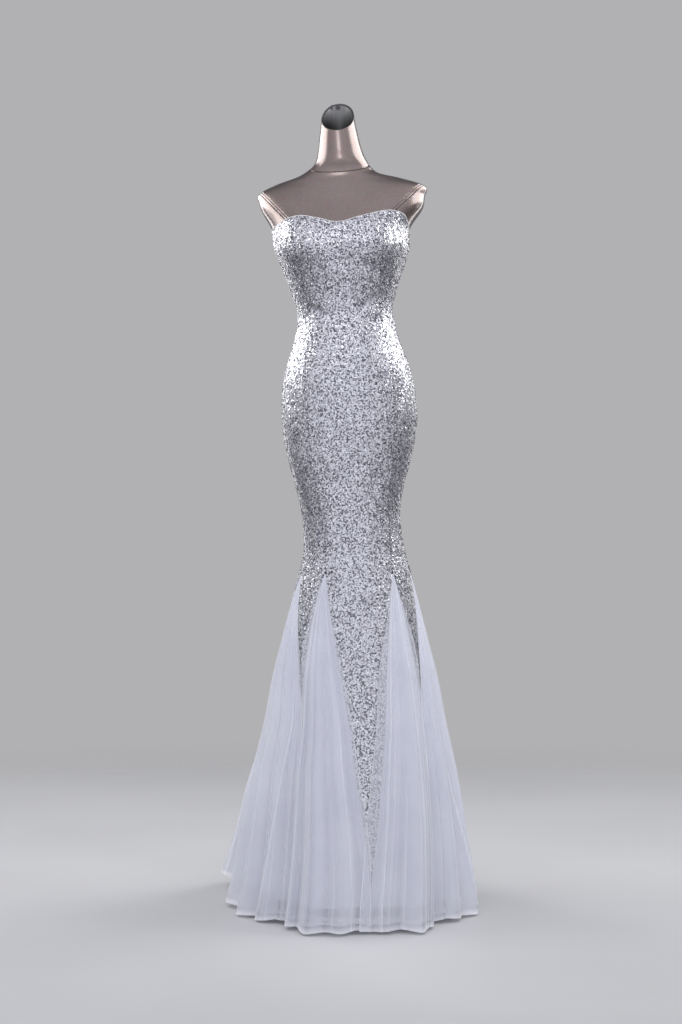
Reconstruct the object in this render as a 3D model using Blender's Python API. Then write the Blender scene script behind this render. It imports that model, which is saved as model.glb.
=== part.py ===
"""A strapless mermaid evening gown with tulle godets, on a limbless dress form.

Metres, +Z up.  The origin is the middle of the underside of the form's base,
the gown's front faces -Y, and the wearer's left side is +X.

The gown's body is a stack of rounded sections.  Every cut piece is a thin wall
on that body, between seam lines that are given as angles from the centre front.
Below the knee each panel narrows to a point, and a tulle godet with soft folds
fills the space between two panels.  The dress form is the same body, set in by
the cloth's thickness, so the cloth lies on it evenly.
"""
import math
from collections import namedtuple

import bmesh
import bpy
from mathutils import Matrix, Vector

# ---- cloth -----------------------------------------------------------------
SEAM_GAP = 0.0003
SEQUIN_WALL = 0.0015
TULLE_WALL = 0.0010
FORM_GAP = 0.0005
HEM_Z = 0.004
APEX_Z = 0.745
FOLD_GROWTH = 1.1
POINT_TAPER = 1.2
STEPS_PER_FOLD = 3

# ---- body: one row for each height, hem to neck ------------------------------
# front and back are the depths before and behind the axis, squareness 2 is an
# ellipse, and turn_deg swings the section towards the wearer's left.
Section = namedtuple("Section", "z half_width front back shift_x turn_deg squareness")
SECTIONS = [
    Section(0.000, 0.262, 0.262, 0.375, 0.008, 10, 2.20),
    Section(0.105, 0.246, 0.244, 0.338, 0.012, 10, 2.20),
    Section(0.237, 0.227, 0.220, 0.290, 0.012, 10, 2.20),
    Section(0.325, 0.212, 0.200, 0.255, 0.013, 9, 2.20),
    Section(0.413, 0.194, 0.178, 0.220, 0.013, 9, 2.15),
    Section(0.501, 0.180, 0.156, 0.188, 0.012, 8, 2.10),
    Section(0.589, 0.160, 0.132, 0.155, 0.011, 7, 2.10),
    Section(0.677, 0.139, 0.110, 0.124, 0.011, 6, 2.10),
    Section(0.743, 0.121, 0.094, 0.102, 0.012, 6, 2.10),
    Section(0.787, 0.111, 0.087, 0.093, 0.010, 7, 2.10),
    Section(0.853, 0.107, 0.084, 0.089, 0.004, 8, 2.10),
    Section(0.897, 0.112, 0.086, 0.092, 0.001, 7, 2.10),
    Section(0.941, 0.122, 0.089, 0.101, 0.000, 6, 2.10),
    Section(0.985, 0.134, 0.093, 0.112, 0.000, 5, 2.10),
    Section(1.029, 0.143, 0.097, 0.122, 0.000, 3, 2.10),
    Section(1.073, 0.148, 0.101, 0.128, 0.000, 2, 2.10),
    Section(1.117, 0.147, 0.102, 0.127, -0.001, 2, 2.10),
    Section(1.161, 0.142, 0.101, 0.120, -0.003, 1, 2.10),
    Section(1.205, 0.130, 0.097, 0.107, -0.004, 0, 2.10),
    Section(1.249, 0.115, 0.089, 0.092, -0.006, 0, 2.10),
    Section(1.293, 0.105, 0.081, 0.081, -0.009, -1, 2.10),
    Section(1.325, 0.107, 0.083, 0.083, -0.012, -1, 2.10),
    Section(1.359, 0.117, 0.090, 0.088, -0.014, -2, 2.10),
    Section(1.403, 0.132, 0.102, 0.094, -0.015, -3, 2.20),
    Section(1.447, 0.147, 0.111, 0.097, -0.017, -4, 2.30),
    Section(1.491, 0.153, 0.106, 0.096, -0.019, -4, 2.40),
    Section(1.531, 0.176, 0.089, 0.094, -0.015, -5, 2.50),
    Section(1.557, 0.182, 0.074, 0.088, -0.017, -5, 2.50),
    Section(1.578, 0.183, 0.060, 0.078, -0.017, -5, 2.40),
    Section(1.597, 0.138, 0.048, 0.066, -0.023, -5, 2.20),
    Section(1.610, 0.093, 0.045, 0.058, -0.025, -5, 2.10),
    Section(1.623, 0.072, 0.046, 0.053, -0.022, -5, 2.00),
    Section(1.637, 0.059, 0.050, 0.051, -0.019, -5, 2.00),
    Section(1.663, 0.049, 0.047, 0.048, -0.021, -5, 2.00),
    Section(1.700, 0.042, 0.044, 0.046, -0.024, -5, 2.00),
    Section(1.742, 0.036, 0.042, 0.044, -0.026, -5, 2.00),
    Section(1.800, 0.035, 0.041, 0.043, -0.028, -5, 2.00),
]
BODY_LEVELS = [
    APEX_Z, 0.787, 0.830, 0.875, 0.920, 0.960, 1.000, 1.040, 1.080, 1.120,
    1.160, 1.200, 1.235, 1.265, 1.295, 1.325, 1.360,
]
BODICE_ROWS = 5
SKIRT_LEVELS = [
    HEM_Z, 0.055, 0.110, 0.170, 0.235, 0.300, 0.370, 0.440, 0.520, 0.605,
    0.680,
]
POINT_INSET = 0.003

# ---- bust: two soft cups -----------------------------------------------------
BUST_RISE = 0.011
BUST_Z = 1.447
BUST_HEIGHT = 0.050
BUST_DEG = 33
BUST_SPREAD_DEG = 24

# ---- neckline: height of the gown's top edge round the body ------------------
Edge = namedtuple("Edge", "angle_deg z")
NECKLINE = [
    Edge(-180, 1.400),
    Edge(-140, 1.424),
    Edge(-105, 1.467),
    Edge(-83, 1.486),
    Edge(-55, 1.497),
    Edge(-28, 1.512),
    Edge(-12, 1.504),
    Edge(0, 1.494),
    Edge(12, 1.505),
    Edge(33, 1.518),
    Edge(52, 1.513),
    Edge(68, 1.500),
    Edge(83, 1.486),
    Edge(105, 1.467),
    Edge(140, 1.424),
    Edge(180, 1.400),
]

# ---- seams: angles from the centre front, the same on both sides -------------
Seam = namedtuple("Seam", "z front side back")
SEAMS = [
    Seam(0.745, 36, 79, 140),
    Seam(0.853, 42, 83, 140),
    Seam(1.100, 38, 86, 142),
    Seam(1.293, 46, 90, 136),
    Seam(1.447, 38, 88, 140),
    Seam(1.520, 38, 88, 140),
]

# ---- panels, from the centre back round the wearer's right side --------------
# tip_deg and tip_z are where the panel's point ends, hem_deg is where the seam
# that goes on from it meets the hem, and tip_out is how far the cloth there lies
# outside (or inside) the body's section at the hem.
Panel = namedtuple("Panel", "name columns tip_deg tip_z hem_deg tip_out")
PANELS = [
    Panel("panel_back_r", 5, -158, 0.170, -158, -0.020),
    Panel("panel_side_back_r", 6, -113, 0.300, -113, -0.020),
    Panel("panel_side_front_r", 6, -48, 0.440, -48, -0.050),
    Panel("panel_front", 10, -2, 0.055, -2, 0.000),
    Panel("panel_side_front_l", 6, 44, 0.440, 33, -0.040),
    Panel("panel_side_back_l", 6, 102, 0.300, 102, -0.020),
    Panel("panel_back_l", 5, 155, 0.170, 155, -0.020),
]

# ---- godets: folds across each one, from its right edge to its left ----------
# across runs from 0 to 1 between the two panels, out is the fold's distance
# outside the section at the hem, and lift is the hem's height over the floor.
Fold = namedtuple("Fold", "across out lift")
GODETS = {
    "godet_side_r": [
        Fold(0.10, 0.000, 0.004),
        Fold(0.23, 0.014, 0.006),
        Fold(0.34, -0.014, 0.003),
        Fold(0.48, 0.004, 0.000),
        Fold(0.60, -0.026, 0.002),
        Fold(0.72, -0.014, 0.000),
        Fold(0.86, -0.040, 0.004),
    ],
    "godet_front_r": [
        Fold(0.10, -0.008, 0.004),
        Fold(0.22, -0.014, 0.003),
        Fold(0.42, 0.030, 0.000),
        Fold(0.58, 0.014, 0.002),
        Fold(0.72, 0.020, 0.001),
        Fold(0.88, 0.000, 0.003),
    ],
    "godet_front_l": [
        Fold(0.16, 0.012, 0.002),
        Fold(0.32, 0.002, 0.003),
        Fold(0.54, 0.036, 0.000),
        Fold(0.66, 0.016, 0.002),
        Fold(0.80, 0.002, 0.001),
    ],
    "godet_side_l": [
        Fold(0.10, -0.022, 0.004),
        Fold(0.22, -0.004, 0.002),
        Fold(0.32, -0.012, 0.002),
        Fold(0.46, 0.013, 0.000),
        Fold(0.60, -0.014, 0.002),
        Fold(0.76, 0.016, 0.000),
        Fold(0.90, -0.012, 0.003),
    ],
    "godet_back_l": [
        Fold(0.16, 0.008, 0.002),
        Fold(0.32, -0.018, 0.003),
        Fold(0.54, 0.036, 0.002),
        Fold(0.72, -0.010, 0.003),
        Fold(0.86, 0.010, 0.001),
    ],
    "godet_centre_back": [
        Fold(0.15, 0.010, 0.001),
        Fold(0.32, -0.018, 0.002),
        Fold(0.50, 0.022, 0.000),
        Fold(0.67, -0.020, 0.002),
        Fold(0.84, 0.012, 0.001),
    ],
    "godet_back_r": [
        Fold(0.16, 0.008, 0.001),
        Fold(0.30, -0.016, 0.010),
        Fold(0.50, 0.081, 0.024),
        Fold(0.70, 0.000, 0.014),
        Fold(0.85, 0.012, 0.002),
    ],
}

# ---- dress form --------------------------------------------------------------
TORSO_BOTTOM = 0.960
SHOULDER_ROLL = 0.038
ROLL_FROM = 1.450
ROLL_TO = 1.570
CHEST_LEVEL = 1.535
CHEST_ROWS = 3
SHOULDER_LEVELS = [1.556, 1.574, 1.588, 1.600]
NECK_ROOT_ROWS = 3
ARM_CUT_TOP = Vector((0.181, 0.000, 1.579))
ARM_CUT_TILT = math.radians(43)
ARM_CUT_BOTTOM = 1.470
ARM_CUT_SIZE = 0.300
ARM_GAP = 0.0004
NECK_BASE_Z = 1.634
NECK_BASE_SLOPE = 0.50
NECK_WALL = 0.004
NECK_FLOOR_Z = 1.680
MOUTH_Z = 1.741
MOUTH_SLOPE = 0.85
NECK_COLUMNS = 24
NECK_ROWS = 6
SLANT_PASSES = 12
SOCKET_RADIUS = 0.024
SOCKET_RIM = 0.0215
SOCKET_SHOULDER = 0.0042
SOCKET_THICK = 0.0060
SOCKET_HOLE = 0.0080
SOCKET_HOLE_FLOOR = 0.0024
POLE_RADIUS = 0.016
COLLAR_RADIUS = 0.028
COLLAR_HEIGHT = 0.030
BASE_RADIUS = 0.150
BASE_THICK = 0.012
STAND_BEVEL = 0.003
ROUND_SIDES = 24

# ---- zip ---------------------------------------------------------------------
SLIDER_Z = 1.386
SLIDER_SIZE = Vector((0.0055, 0.0030, 0.0090))
SLIDER_SIDES = 12
SLIDER_CROWN = 0.7
TAB_WIDTH = 0.0045
TAB_THICK = 0.0012
TAB_LENGTH = 0.0240
TAB_SIDES = 16
TAB_MEAN_WIDTH = 0.72
TAB_FLARE = 0.28
TAB_EDGE = 0.85
HINGE_DROP = 0.0015
HINGE_OUT = 0.0011

# ---- finishes: colour, roughness, metallic -----------------------------------
FINISHES = {
    "sequin": ((0.55, 0.56, 0.60), 0.30, 0.80),
    "tulle": ((0.78, 0.79, 0.86), 0.80, 0.00),
    "form": ((0.42, 0.35, 0.33), 0.30, 0.90),
    "steel": ((0.30, 0.30, 0.32), 0.35, 1.00),
    "zip": ((0.70, 0.71, 0.74), 0.35, 0.90),
}


# ---- reading the tables ------------------------------------------------------
def read(rows, key, column):
    """Read one column on a smooth curve through the rows, by their first column."""
    key = min(max(key, rows[0][0]), rows[-1][0])
    index = next(i for i in range(len(rows) - 1) if key <= rows[i + 1][0])
    span = rows[index + 1][0] - rows[index][0]
    start = getattr(rows[index], column)
    end = getattr(rows[index + 1], column)
    start_slope = table_slope(rows, index, column) * span
    end_slope = table_slope(rows, index + 1, column) * span
    t = (key - rows[index][0]) / span
    return (
        start * (2 * t ** 3 - 3 * t ** 2 + 1)
        + start_slope * (t ** 3 - 2 * t ** 2 + t)
        + end * (3 * t ** 2 - 2 * t ** 3)
        + end_slope * (t ** 3 - t ** 2)
    )


def table_slope(rows, index, column):
    """The slope of a column at one row, from the rows on each side of it."""
    before = rows[max(index - 1, 0)]
    after = rows[min(index + 1, len(rows) - 1)]
    return (getattr(after, column) - getattr(before, column)) / (after[0] - before[0])


def smooth_step(low, high, value):
    """Rise from 0 at low to 1 at high without a corner."""
    t = min(max((value - low) / (high - low), 0.0), 1.0)
    return t * t * (3 - 2 * t)


# ---- the body's surface ------------------------------------------------------
def bust_rise(z, angle):
    """How far the cups stand out at a height and an angle."""
    across = (abs(math.degrees(angle)) - BUST_DEG) / BUST_SPREAD_DEG
    upright = (z - BUST_Z) / BUST_HEIGHT
    return BUST_RISE * math.exp(-across ** 2 - upright ** 2)


def section_point(z, angle):
    """A point of the section at z, before the section is turned and shifted."""
    power = 2.0 / read(SECTIONS, z, "squareness")
    sine, cosine = math.sin(angle), math.cos(angle)
    depth = read(SECTIONS, z, "front" if cosine > 0 else "back")
    x = read(SECTIONS, z, "half_width") * math.copysign(abs(sine) ** power, sine)
    y = -depth * math.copysign(abs(cosine) ** power, cosine)
    return Vector((x, y - bust_rise(z, angle), z))


def place(point):
    """Turn and shift a section's point to where the body stands."""
    turned = Matrix.Rotation(math.radians(read(SECTIONS, point.z, "turn_deg")), 3, "Z") @ point
    roll = SHOULDER_ROLL * turned.x * smooth_step(ROLL_FROM, ROLL_TO, point.z)
    shift = read(SECTIONS, point.z, "shift_x")
    return turned + Vector((shift, 0, roll))


def on_body(z, angle):
    """The body's surface at a height and an angle from the centre front."""
    return place(section_point(z, angle))


def outward(z, angle):
    """The body's surface normal."""
    turn, rise = 0.01, 0.002
    along = on_body(z, angle + turn) - on_body(z, angle - turn)
    upward = on_body(z + rise, angle) - on_body(z - rise, angle)
    return along.cross(upward).normalized()


def level_outward(z, angle):
    """The normal without its upward part, for folds that stand out sideways."""
    normal = outward(z, angle)
    return Vector((normal.x, normal.y, 0)).normalized()


def neckline(angle):
    """The height of the gown's top edge."""
    return read(NECKLINE, math.degrees(angle), "z")


# ---- seam lines --------------------------------------------------------------
def seam_angles(z):
    """The eight seam angles at a height, from the centre back round to itself."""
    front, side, back = (math.radians(read(SEAMS, z, name)) for name in ("front", "side", "back"))
    return [-math.pi, -back, -side, -front, front, side, back, math.pi]


def panel_edges(index, z):
    """The right and left edge angles of a panel at a height."""
    right, left = seam_angles(max(z, APEX_Z))[index:index + 2]
    if z >= APEX_Z:
        return right, left
    panel = PANELS[index]
    down = min((APEX_Z - z) / (APEX_Z - panel.tip_z), 1.0)
    middle = (right + left) / 2
    middle += (math.radians(panel.tip_deg) - middle) * down
    below = max(panel.tip_z - z, 0.0) / panel.tip_z
    middle += math.radians(panel.hem_deg - panel.tip_deg) * below
    widening = read(SECTIONS, z, "half_width") / read(SECTIONS, APEX_Z, "half_width")
    half = (left - right) / 2 * (1 - down) ** POINT_TAPER / widening
    return middle - half, middle + half


def godet_edges(index, z):
    """The edge angles of the godet before panel index, 0 being the centre back."""
    before = PANELS[index - 1]
    after = PANELS[index]
    right = panel_edges(PANELS.index(before), z)[1]
    left = panel_edges(PANELS.index(after), z)[0]
    if index == 0:
        left += 2 * math.pi
    return right, left


def fold_size(z):
    """The share of a fold's full depth that it has at a height."""
    return max(APEX_Z - z, 0.0) ** FOLD_GROWTH / APEX_Z ** FOLD_GROWTH


def gap_angle(z):
    """Half a seam gap, as an angle."""
    return SEAM_GAP / 2 / read(SECTIONS, z, "half_width")


# ---- making solids -----------------------------------------------------------
def finish_material(name):
    """The material of that name, made at its first use."""
    if name in bpy.data.materials:
        return bpy.data.materials[name]
    colour, roughness, metallic = FINISHES[name]
    material = bpy.data.materials.new(name)
    material.use_nodes = True
    shader = material.node_tree.nodes["Principled BSDF"]
    shader.inputs["Base Color"].default_value = (*colour, 1)
    shader.inputs["Roughness"].default_value = roughness
    shader.inputs["Metallic"].default_value = metallic
    material.diffuse_color = (*colour, 1)
    return material


def make_object(name, finish, points, faces):
    """One closed solid from points and faces."""
    mesh = bmesh.new()
    corners = [mesh.verts.new(point) for point in points]
    for face in faces:
        mesh.faces.new([corners[i] for i in face])
    bmesh.ops.remove_doubles(mesh, verts=mesh.verts, dist=1e-6)
    bmesh.ops.recalc_face_normals(mesh, faces=mesh.faces)
    data = bpy.data.meshes.new(name)
    mesh.to_mesh(data)
    mesh.free()
    data.materials.append(finish_material(finish))
    data.shade_smooth()
    data.set_sharp_from_angle(angle=math.radians(40))
    solid = bpy.data.objects.new(name, data)
    bpy.context.scene.collection.objects.link(solid)
    return solid


def grid_faces(start, row_count, column_count, flip=False):
    """Triangles of a grid of points, every quad split along the same diagonal."""
    faces = []
    for row in range(row_count - 1):
        for column in range(column_count - 1):
            low = start + row * column_count + column
            high = low + column_count
            pair = [(low, low + 1, high + 1), (low, high + 1, high)]
            faces += [face[::-1] for face in pair] if flip else pair
    return faces


def rim_faces(outer_start, inner_start, border):
    """Faces that join an outer and an inner grid round their border."""
    faces = []
    for here, there in zip(border, border[1:] + border[:1]):
        faces.append((outer_start + there, outer_start + here, inner_start + here))
        faces.append((outer_start + there, inner_start + here, inner_start + there))
    return faces


def make_wall(name, finish, outer, normals, thickness):
    """A cloth wall: an outer grid of points, and the same grid set in."""
    rows, columns = len(outer), len(outer[0])
    points = [point for row in outer for point in row]
    inward = [normal for row in normals for normal in row]
    inner = [point - normal * thickness for point, normal in zip(points, inward)]
    count = len(points)
    border = list(range(columns))
    border += [row * columns + columns - 1 for row in range(1, rows)]
    border += [(rows - 1) * columns + column for column in range(columns - 2, -1, -1)]
    border += [row * columns for row in range(rows - 2, 0, -1)]
    faces = grid_faces(0, rows, columns) + grid_faces(count, rows, columns, flip=True)
    faces += rim_faces(0, count, border)
    weld_ends(faces, points)
    return make_object(name, finish, points + inner, faces)


def weld_ends(faces, points):
    """Drop the faces that a pointed end has closed up."""
    count = len(points)
    ends = {}
    for index, point in enumerate(points):
        ends.setdefault((round(point.x, 7), round(point.y, 7), round(point.z, 7)), index)
    first = {}
    for index, point in enumerate(points):
        key = (round(point.x, 7), round(point.y, 7), round(point.z, 7))
        first[index] = ends[key]
        first[index + count] = ends[key] + count
    kept = [tuple(first[i] for i in face) for face in faces]
    faces[:] = [face for face in kept if len(set(face)) == 3]


def between(low, high, steps):
    """Evenly spaced values, both ends included."""
    return [low + (high - low) * step / steps for step in range(steps + 1)]


# ---- gown --------------------------------------------------------------------
def bodice_z(row, angle):
    """The height of a row of points between the top body level and the neckline."""
    low = BODY_LEVELS[-1]
    return low + (neckline(angle) - low) * row / BODICE_ROWS


def bodice_edges(index, row):
    """A panel's edge angles on a bodice row, each read at its own height."""
    return [
        seam_angles(bodice_z(row, angle))[index + side]
        for side, angle in enumerate(panel_edges(index, BODY_LEVELS[-1]))
    ]


def make_panel(index):
    """One sequinned panel, from its point up to its neckline edge."""
    panel = PANELS[index]
    tip = panel.tip_z + POINT_INSET
    outer, normals = [], []

    def add_row(heights, angles, out):
        places = list(zip(heights, angles))
        outer.append([on_body(z, a) + level_outward(z, a) * out for z, a in places])
        normals.append([outward(z, a) for z, a in places])

    point = sum(panel_edges(index, tip)) / 2
    add_row([tip] * (panel.columns + 1), [point] * (panel.columns + 1),
            panel.tip_out * fold_size(tip))
    for z in [z for z in SKIRT_LEVELS if z > tip] + BODY_LEVELS:
        right, left = panel_edges(index, z)
        angles = between(right + gap_angle(z), left - gap_angle(z), panel.columns)
        add_row([z] * len(angles), angles, panel.tip_out * fold_size(z))
    for row in range(1, BODICE_ROWS + 1):
        right, left = bodice_edges(index, row)
        gap = gap_angle(bodice_z(row, right))
        angles = between(right + gap, left - gap, panel.columns)
        add_row([bodice_z(row, a) for a in angles], angles, 0)
    make_wall(panel.name, "sequin", outer, normals, SEQUIN_WALL)


def fold_columns(folds, start_out, end_out):
    """Positions, offsets and hem lifts across a godet, rounded between folds."""
    stops = [Fold(0, start_out, 0), *folds, Fold(1, end_out, 0)]
    columns = []
    for low, high in zip(stops, stops[1:]):
        for step in range(STEPS_PER_FOLD):
            t = step / STEPS_PER_FOLD
            blend = smooth_step(0, 1, t)
            columns.append(Fold(
                low.across + (high.across - low.across) * t,
                low.out + (high.out - low.out) * blend,
                low.lift + (high.lift - low.lift) * blend,
            ))
    return columns + [stops[-1]]


def godet_grid(index, folds):
    """The outer points of a godet, hem first, with the edge columns' normals."""
    columns = fold_columns(folds, PANELS[index - 1].tip_out, PANELS[index].tip_out)
    grid, edge_normals = [], []
    for z in SKIRT_LEVELS:
        right, left = godet_edges(index, z)
        gap = gap_angle(z)
        right, left = right + gap, left - gap
        row = []
        for fold in columns:
            angle = right + (left - right) * fold.across
            point = on_body(z, angle) + level_outward(z, angle) * fold.out * fold_size(z)
            row.append(point + Vector((0, 0, fold.lift * (1 - z / APEX_Z) ** 4)))
        grid.append(row)
        edge_normals.append((outward(z, right), outward(z, left)))
    top = APEX_Z - POINT_INSET
    angle = sum(godet_edges(index, top)) / 2
    grid.append([on_body(top, angle)] * len(columns))
    edge_normals.append((outward(top, angle),) * 2)
    return grid, edge_normals


def grid_normals(grid, edge_normals):
    """Normals from the grid itself, and the body's own at the two seams."""
    normals = []
    last_row, last_column = len(grid) - 1, len(grid[0]) - 1
    for row, (right, left) in enumerate(edge_normals):
        line = [right]
        for column in range(1, last_column):
            along = grid[min(row, last_row - 1)]
            across = along[column + 1] - along[column - 1]
            upward = grid[min(row + 1, last_row)][column] - grid[max(row - 1, 0)][column]
            line.append(across.cross(upward).normalized())
        normals.append(line + [left])
    normals[-1] = [edge_normals[-1][0]] * (last_column + 1)
    return normals


def make_godet(name, index):
    """One tulle godet, pointed at the top, folded towards the hem."""
    grid, edge_normals = godet_grid(index, GODETS[name])
    make_wall(name, "tulle", grid, grid_normals(grid, edge_normals), TULLE_WALL)


# ---- dress form --------------------------------------------------------------
def slanted_height(angle, middle, slope, inset=0.0):
    """Where the neck's surface meets a plane that rises towards the back."""
    z = middle
    for _ in range(SLANT_PASSES):
        z = middle + slope * neck_section(z, angle, inset).y
    return z


def neck_section(z, angle, inset):
    """A point of the neck's section, set in by inset."""
    point = section_point(z, angle)
    flat = Vector((point.x, point.y, 0))
    return point - flat.normalized() * inset


def torso_rows():
    """Rings of the torso, each under the gown's points or above its neckline."""
    columns = [
        (index, step / panel.columns)
        for index, panel in enumerate(PANELS)
        for step in range(panel.columns)
    ]

    def spread(edges):
        return [edges[i][0] + (edges[i][1] - edges[i][0]) * part for i, part in columns]

    def angles(z):
        return spread([panel_edges(index, z) for index in range(len(PANELS))])

    inset = SEQUIN_WALL + FORM_GAP
    rings = [
        [on_body(z, a) - outward(z, a) * inset for a in angles(z)]
        for z in BODY_LEVELS if z >= TORSO_BOTTOM
    ]
    for row in range(1, BODICE_ROWS + 1):
        ring = []
        for a in spread([bodice_edges(index, row) for index in range(len(PANELS))]):
            z = bodice_z(row, a)
            ring.append(on_body(z, a) - outward(z, a) * inset)
        rings.append(ring)
    for row in range(1, CHEST_ROWS + 1):
        ring = []
        for a in angles(CHEST_LEVEL):
            z = neckline(a) + (CHEST_LEVEL - neckline(a)) * row / CHEST_ROWS
            ring.append(on_body(z, a) - outward(z, a) * inset)
        rings.append(ring)
    for z in SHOULDER_LEVELS:
        rings.append([on_body(z, a) for a in angles(z)])
    low = SHOULDER_LEVELS[-1]
    for row in range(1, NECK_ROOT_ROWS + 1):
        ring = []
        for a in angles(low):
            root = slanted_height(a, NECK_BASE_Z, NECK_BASE_SLOPE)
            ring.append(on_body(low + (root - low) * row / NECK_ROOT_ROWS, a))
        rings.append(ring)
    return rings


def make_loft(name, finish, rings):
    """A closed solid through rings of points, with flat ends."""
    sides = len(rings[0])
    points = [point for ring in rings for point in ring]
    faces = []
    for row in range(len(rings) - 1):
        for column in range(sides):
            low, next_low = row * sides + column, row * sides + (column + 1) % sides
            high, next_high = low + sides, next_low + sides
            faces += [(low, next_low, next_high), (low, next_high, high)]
    faces.append(tuple(range(sides))[::-1])
    faces.append(tuple(range(len(points) - sides, len(points))))
    return make_object(name, finish, points, faces)


def arm_cutter(name, side, inset):
    """A box over one arm root, one face on the slanted cut, set in by inset."""
    tilt = ARM_CUT_TILT
    out = Vector((side * math.cos(tilt), 0, -math.sin(tilt)))
    up = Vector((side * math.sin(tilt), 0, math.cos(tilt)))
    top = Vector((side * ARM_CUT_TOP.x, ARM_CUT_TOP.y, ARM_CUT_TOP.z)) + out * inset
    bottom = ARM_CUT_BOTTOM + inset
    down = (top.z - bottom) / up.z
    outline = [
        top + up * ARM_CUT_SIZE / 2,
        top - up * down,
        top - up * down + Vector((side * ARM_CUT_SIZE, 0, 0)),
        top + up * ARM_CUT_SIZE / 2 + Vector((side * ARM_CUT_SIZE, 0, 0)),
    ]
    rings = [
        [place_rigid(Vector((p.x, y, p.z))) for p in outline]
        for y in (-ARM_CUT_SIZE, ARM_CUT_SIZE)
    ]
    cutter = make_loft(name, "form", rings)
    cutter.hide_render = True
    cutter.display_type = "WIRE"
    return cutter


def place_rigid(point):
    """Place a point as part of one rigid piece at the shoulders."""
    level = ARM_CUT_TOP.z
    turned = Matrix.Rotation(math.radians(read(SECTIONS, level, "turn_deg")), 3, "Z") @ point
    return turned + Vector((read(SECTIONS, level, "shift_x"), 0, SHOULDER_ROLL * turned.x))


def add_cut(solid, cutter, operation):
    """A Boolean that stays on the solid."""
    cut = solid.modifiers.new(cutter.name, "BOOLEAN")
    cut.operation = operation
    cut.solver = "EXACT"
    cut.object = cutter


def make_torso():
    """The torso from the hips to the root of the neck, and its two arm caps."""
    torso = make_loft("form_torso", "form", torso_rows())
    for suffix, side in (("r", -1), ("l", 1)):
        cap = torso.copy()
        cap.data = torso.data.copy()
        cap.name = f"form_arm_cap_{suffix}"
        cap.modifiers.clear()
        bpy.context.scene.collection.objects.link(cap)
        add_cut(cap, arm_cutter(f"arm_shape_{suffix}", side, ARM_GAP), "INTERSECT")
        add_cut(torso, arm_cutter(f"arm_cutter_{suffix}", side, 0.0), "DIFFERENCE")


def make_neck():
    """The hollow neck: a shell with a slanted mouth and a floor inside it."""
    angles = [2 * math.pi * step / NECK_COLUMNS for step in range(NECK_COLUMNS)]
    rings = []
    for row in range(NECK_ROWS + 1):
        ring = []
        for a in angles:
            base = slanted_height(a, NECK_BASE_Z + SEAM_GAP, NECK_BASE_SLOPE)
            mouth = slanted_height(a, MOUTH_Z, MOUTH_SLOPE)
            ring.append(place(neck_section(base + (mouth - base) * row / NECK_ROWS, a, 0)))
        rings.append(ring)
    for row in range(NECK_ROWS // 2 + 1):
        ring = []
        for a in angles:
            mouth = slanted_height(a, MOUTH_Z, MOUTH_SLOPE, NECK_WALL)
            z = mouth + (NECK_FLOOR_Z - mouth) * row / (NECK_ROWS // 2)
            ring.append(place(neck_section(z, a, NECK_WALL)))
        rings.append(ring)
    make_loft("form_neck", "form", rings)


def turned_piece(name, finish, profile, centre):
    """A solid turned about an upright axis, from (radius, height) pairs."""
    rings = []
    for radius, height in profile:
        ring = []
        for step in range(ROUND_SIDES):
            turn = 2 * math.pi * step / ROUND_SIDES
            ring.append(centre + Vector((radius * math.cos(turn), radius * math.sin(turn), height)))
        rings.append(ring)
    return make_loft(name, finish, rings)


def make_socket():
    """The socket on the neck's floor, with a blind hole in its middle."""
    centre = place(Vector((0, 0, NECK_FLOOR_Z)))
    profile = [
        (SOCKET_RADIUS, SEAM_GAP + SHOULDER_ROLL * SOCKET_RADIUS),
        (SOCKET_RADIUS, SOCKET_SHOULDER),
        (SOCKET_RIM, SOCKET_THICK),
        (SOCKET_HOLE, SOCKET_THICK),
        (SOCKET_HOLE, SOCKET_HOLE_FLOOR),
    ]
    turned_piece("neck_socket", "steel", profile, centre)


def make_stand():
    """The pole, its collar under the torso and the round base."""
    middle = Vector((0, 0, 0))
    turned_piece("stand_base", "steel", [
        (BASE_RADIUS - STAND_BEVEL, 0),
        (BASE_RADIUS, STAND_BEVEL),
        (BASE_RADIUS, BASE_THICK - STAND_BEVEL),
        (BASE_RADIUS - STAND_BEVEL, BASE_THICK),
        (COLLAR_RADIUS, BASE_THICK + STAND_BEVEL),
        (COLLAR_RADIUS - STAND_BEVEL, BASE_THICK + COLLAR_HEIGHT / 2),
    ], middle)
    foot = BASE_THICK + COLLAR_HEIGHT / 2 + SEAM_GAP
    head = TORSO_BOTTOM - COLLAR_HEIGHT
    turned_piece("stand_pole", "steel", [
        (POLE_RADIUS, foot),
        (POLE_RADIUS, head - SEAM_GAP),
    ], middle)
    turned_piece("stand_collar", "steel", [
        (COLLAR_RADIUS - STAND_BEVEL, head),
        (COLLAR_RADIUS, head + STAND_BEVEL),
        (COLLAR_RADIUS, TORSO_BOTTOM - SEAM_GAP),
    ], middle)


# ---- zip ---------------------------------------------------------------------
def zip_frame():
    """The cloth's point and directions at the slider: out, up and across."""
    seat = on_body(SLIDER_Z, math.pi)
    out = outward(SLIDER_Z, math.pi)
    across = Vector((0, 0, 1)).cross(out).normalized()
    up = out.cross(across).normalized()
    return seat, out, up, across


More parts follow.
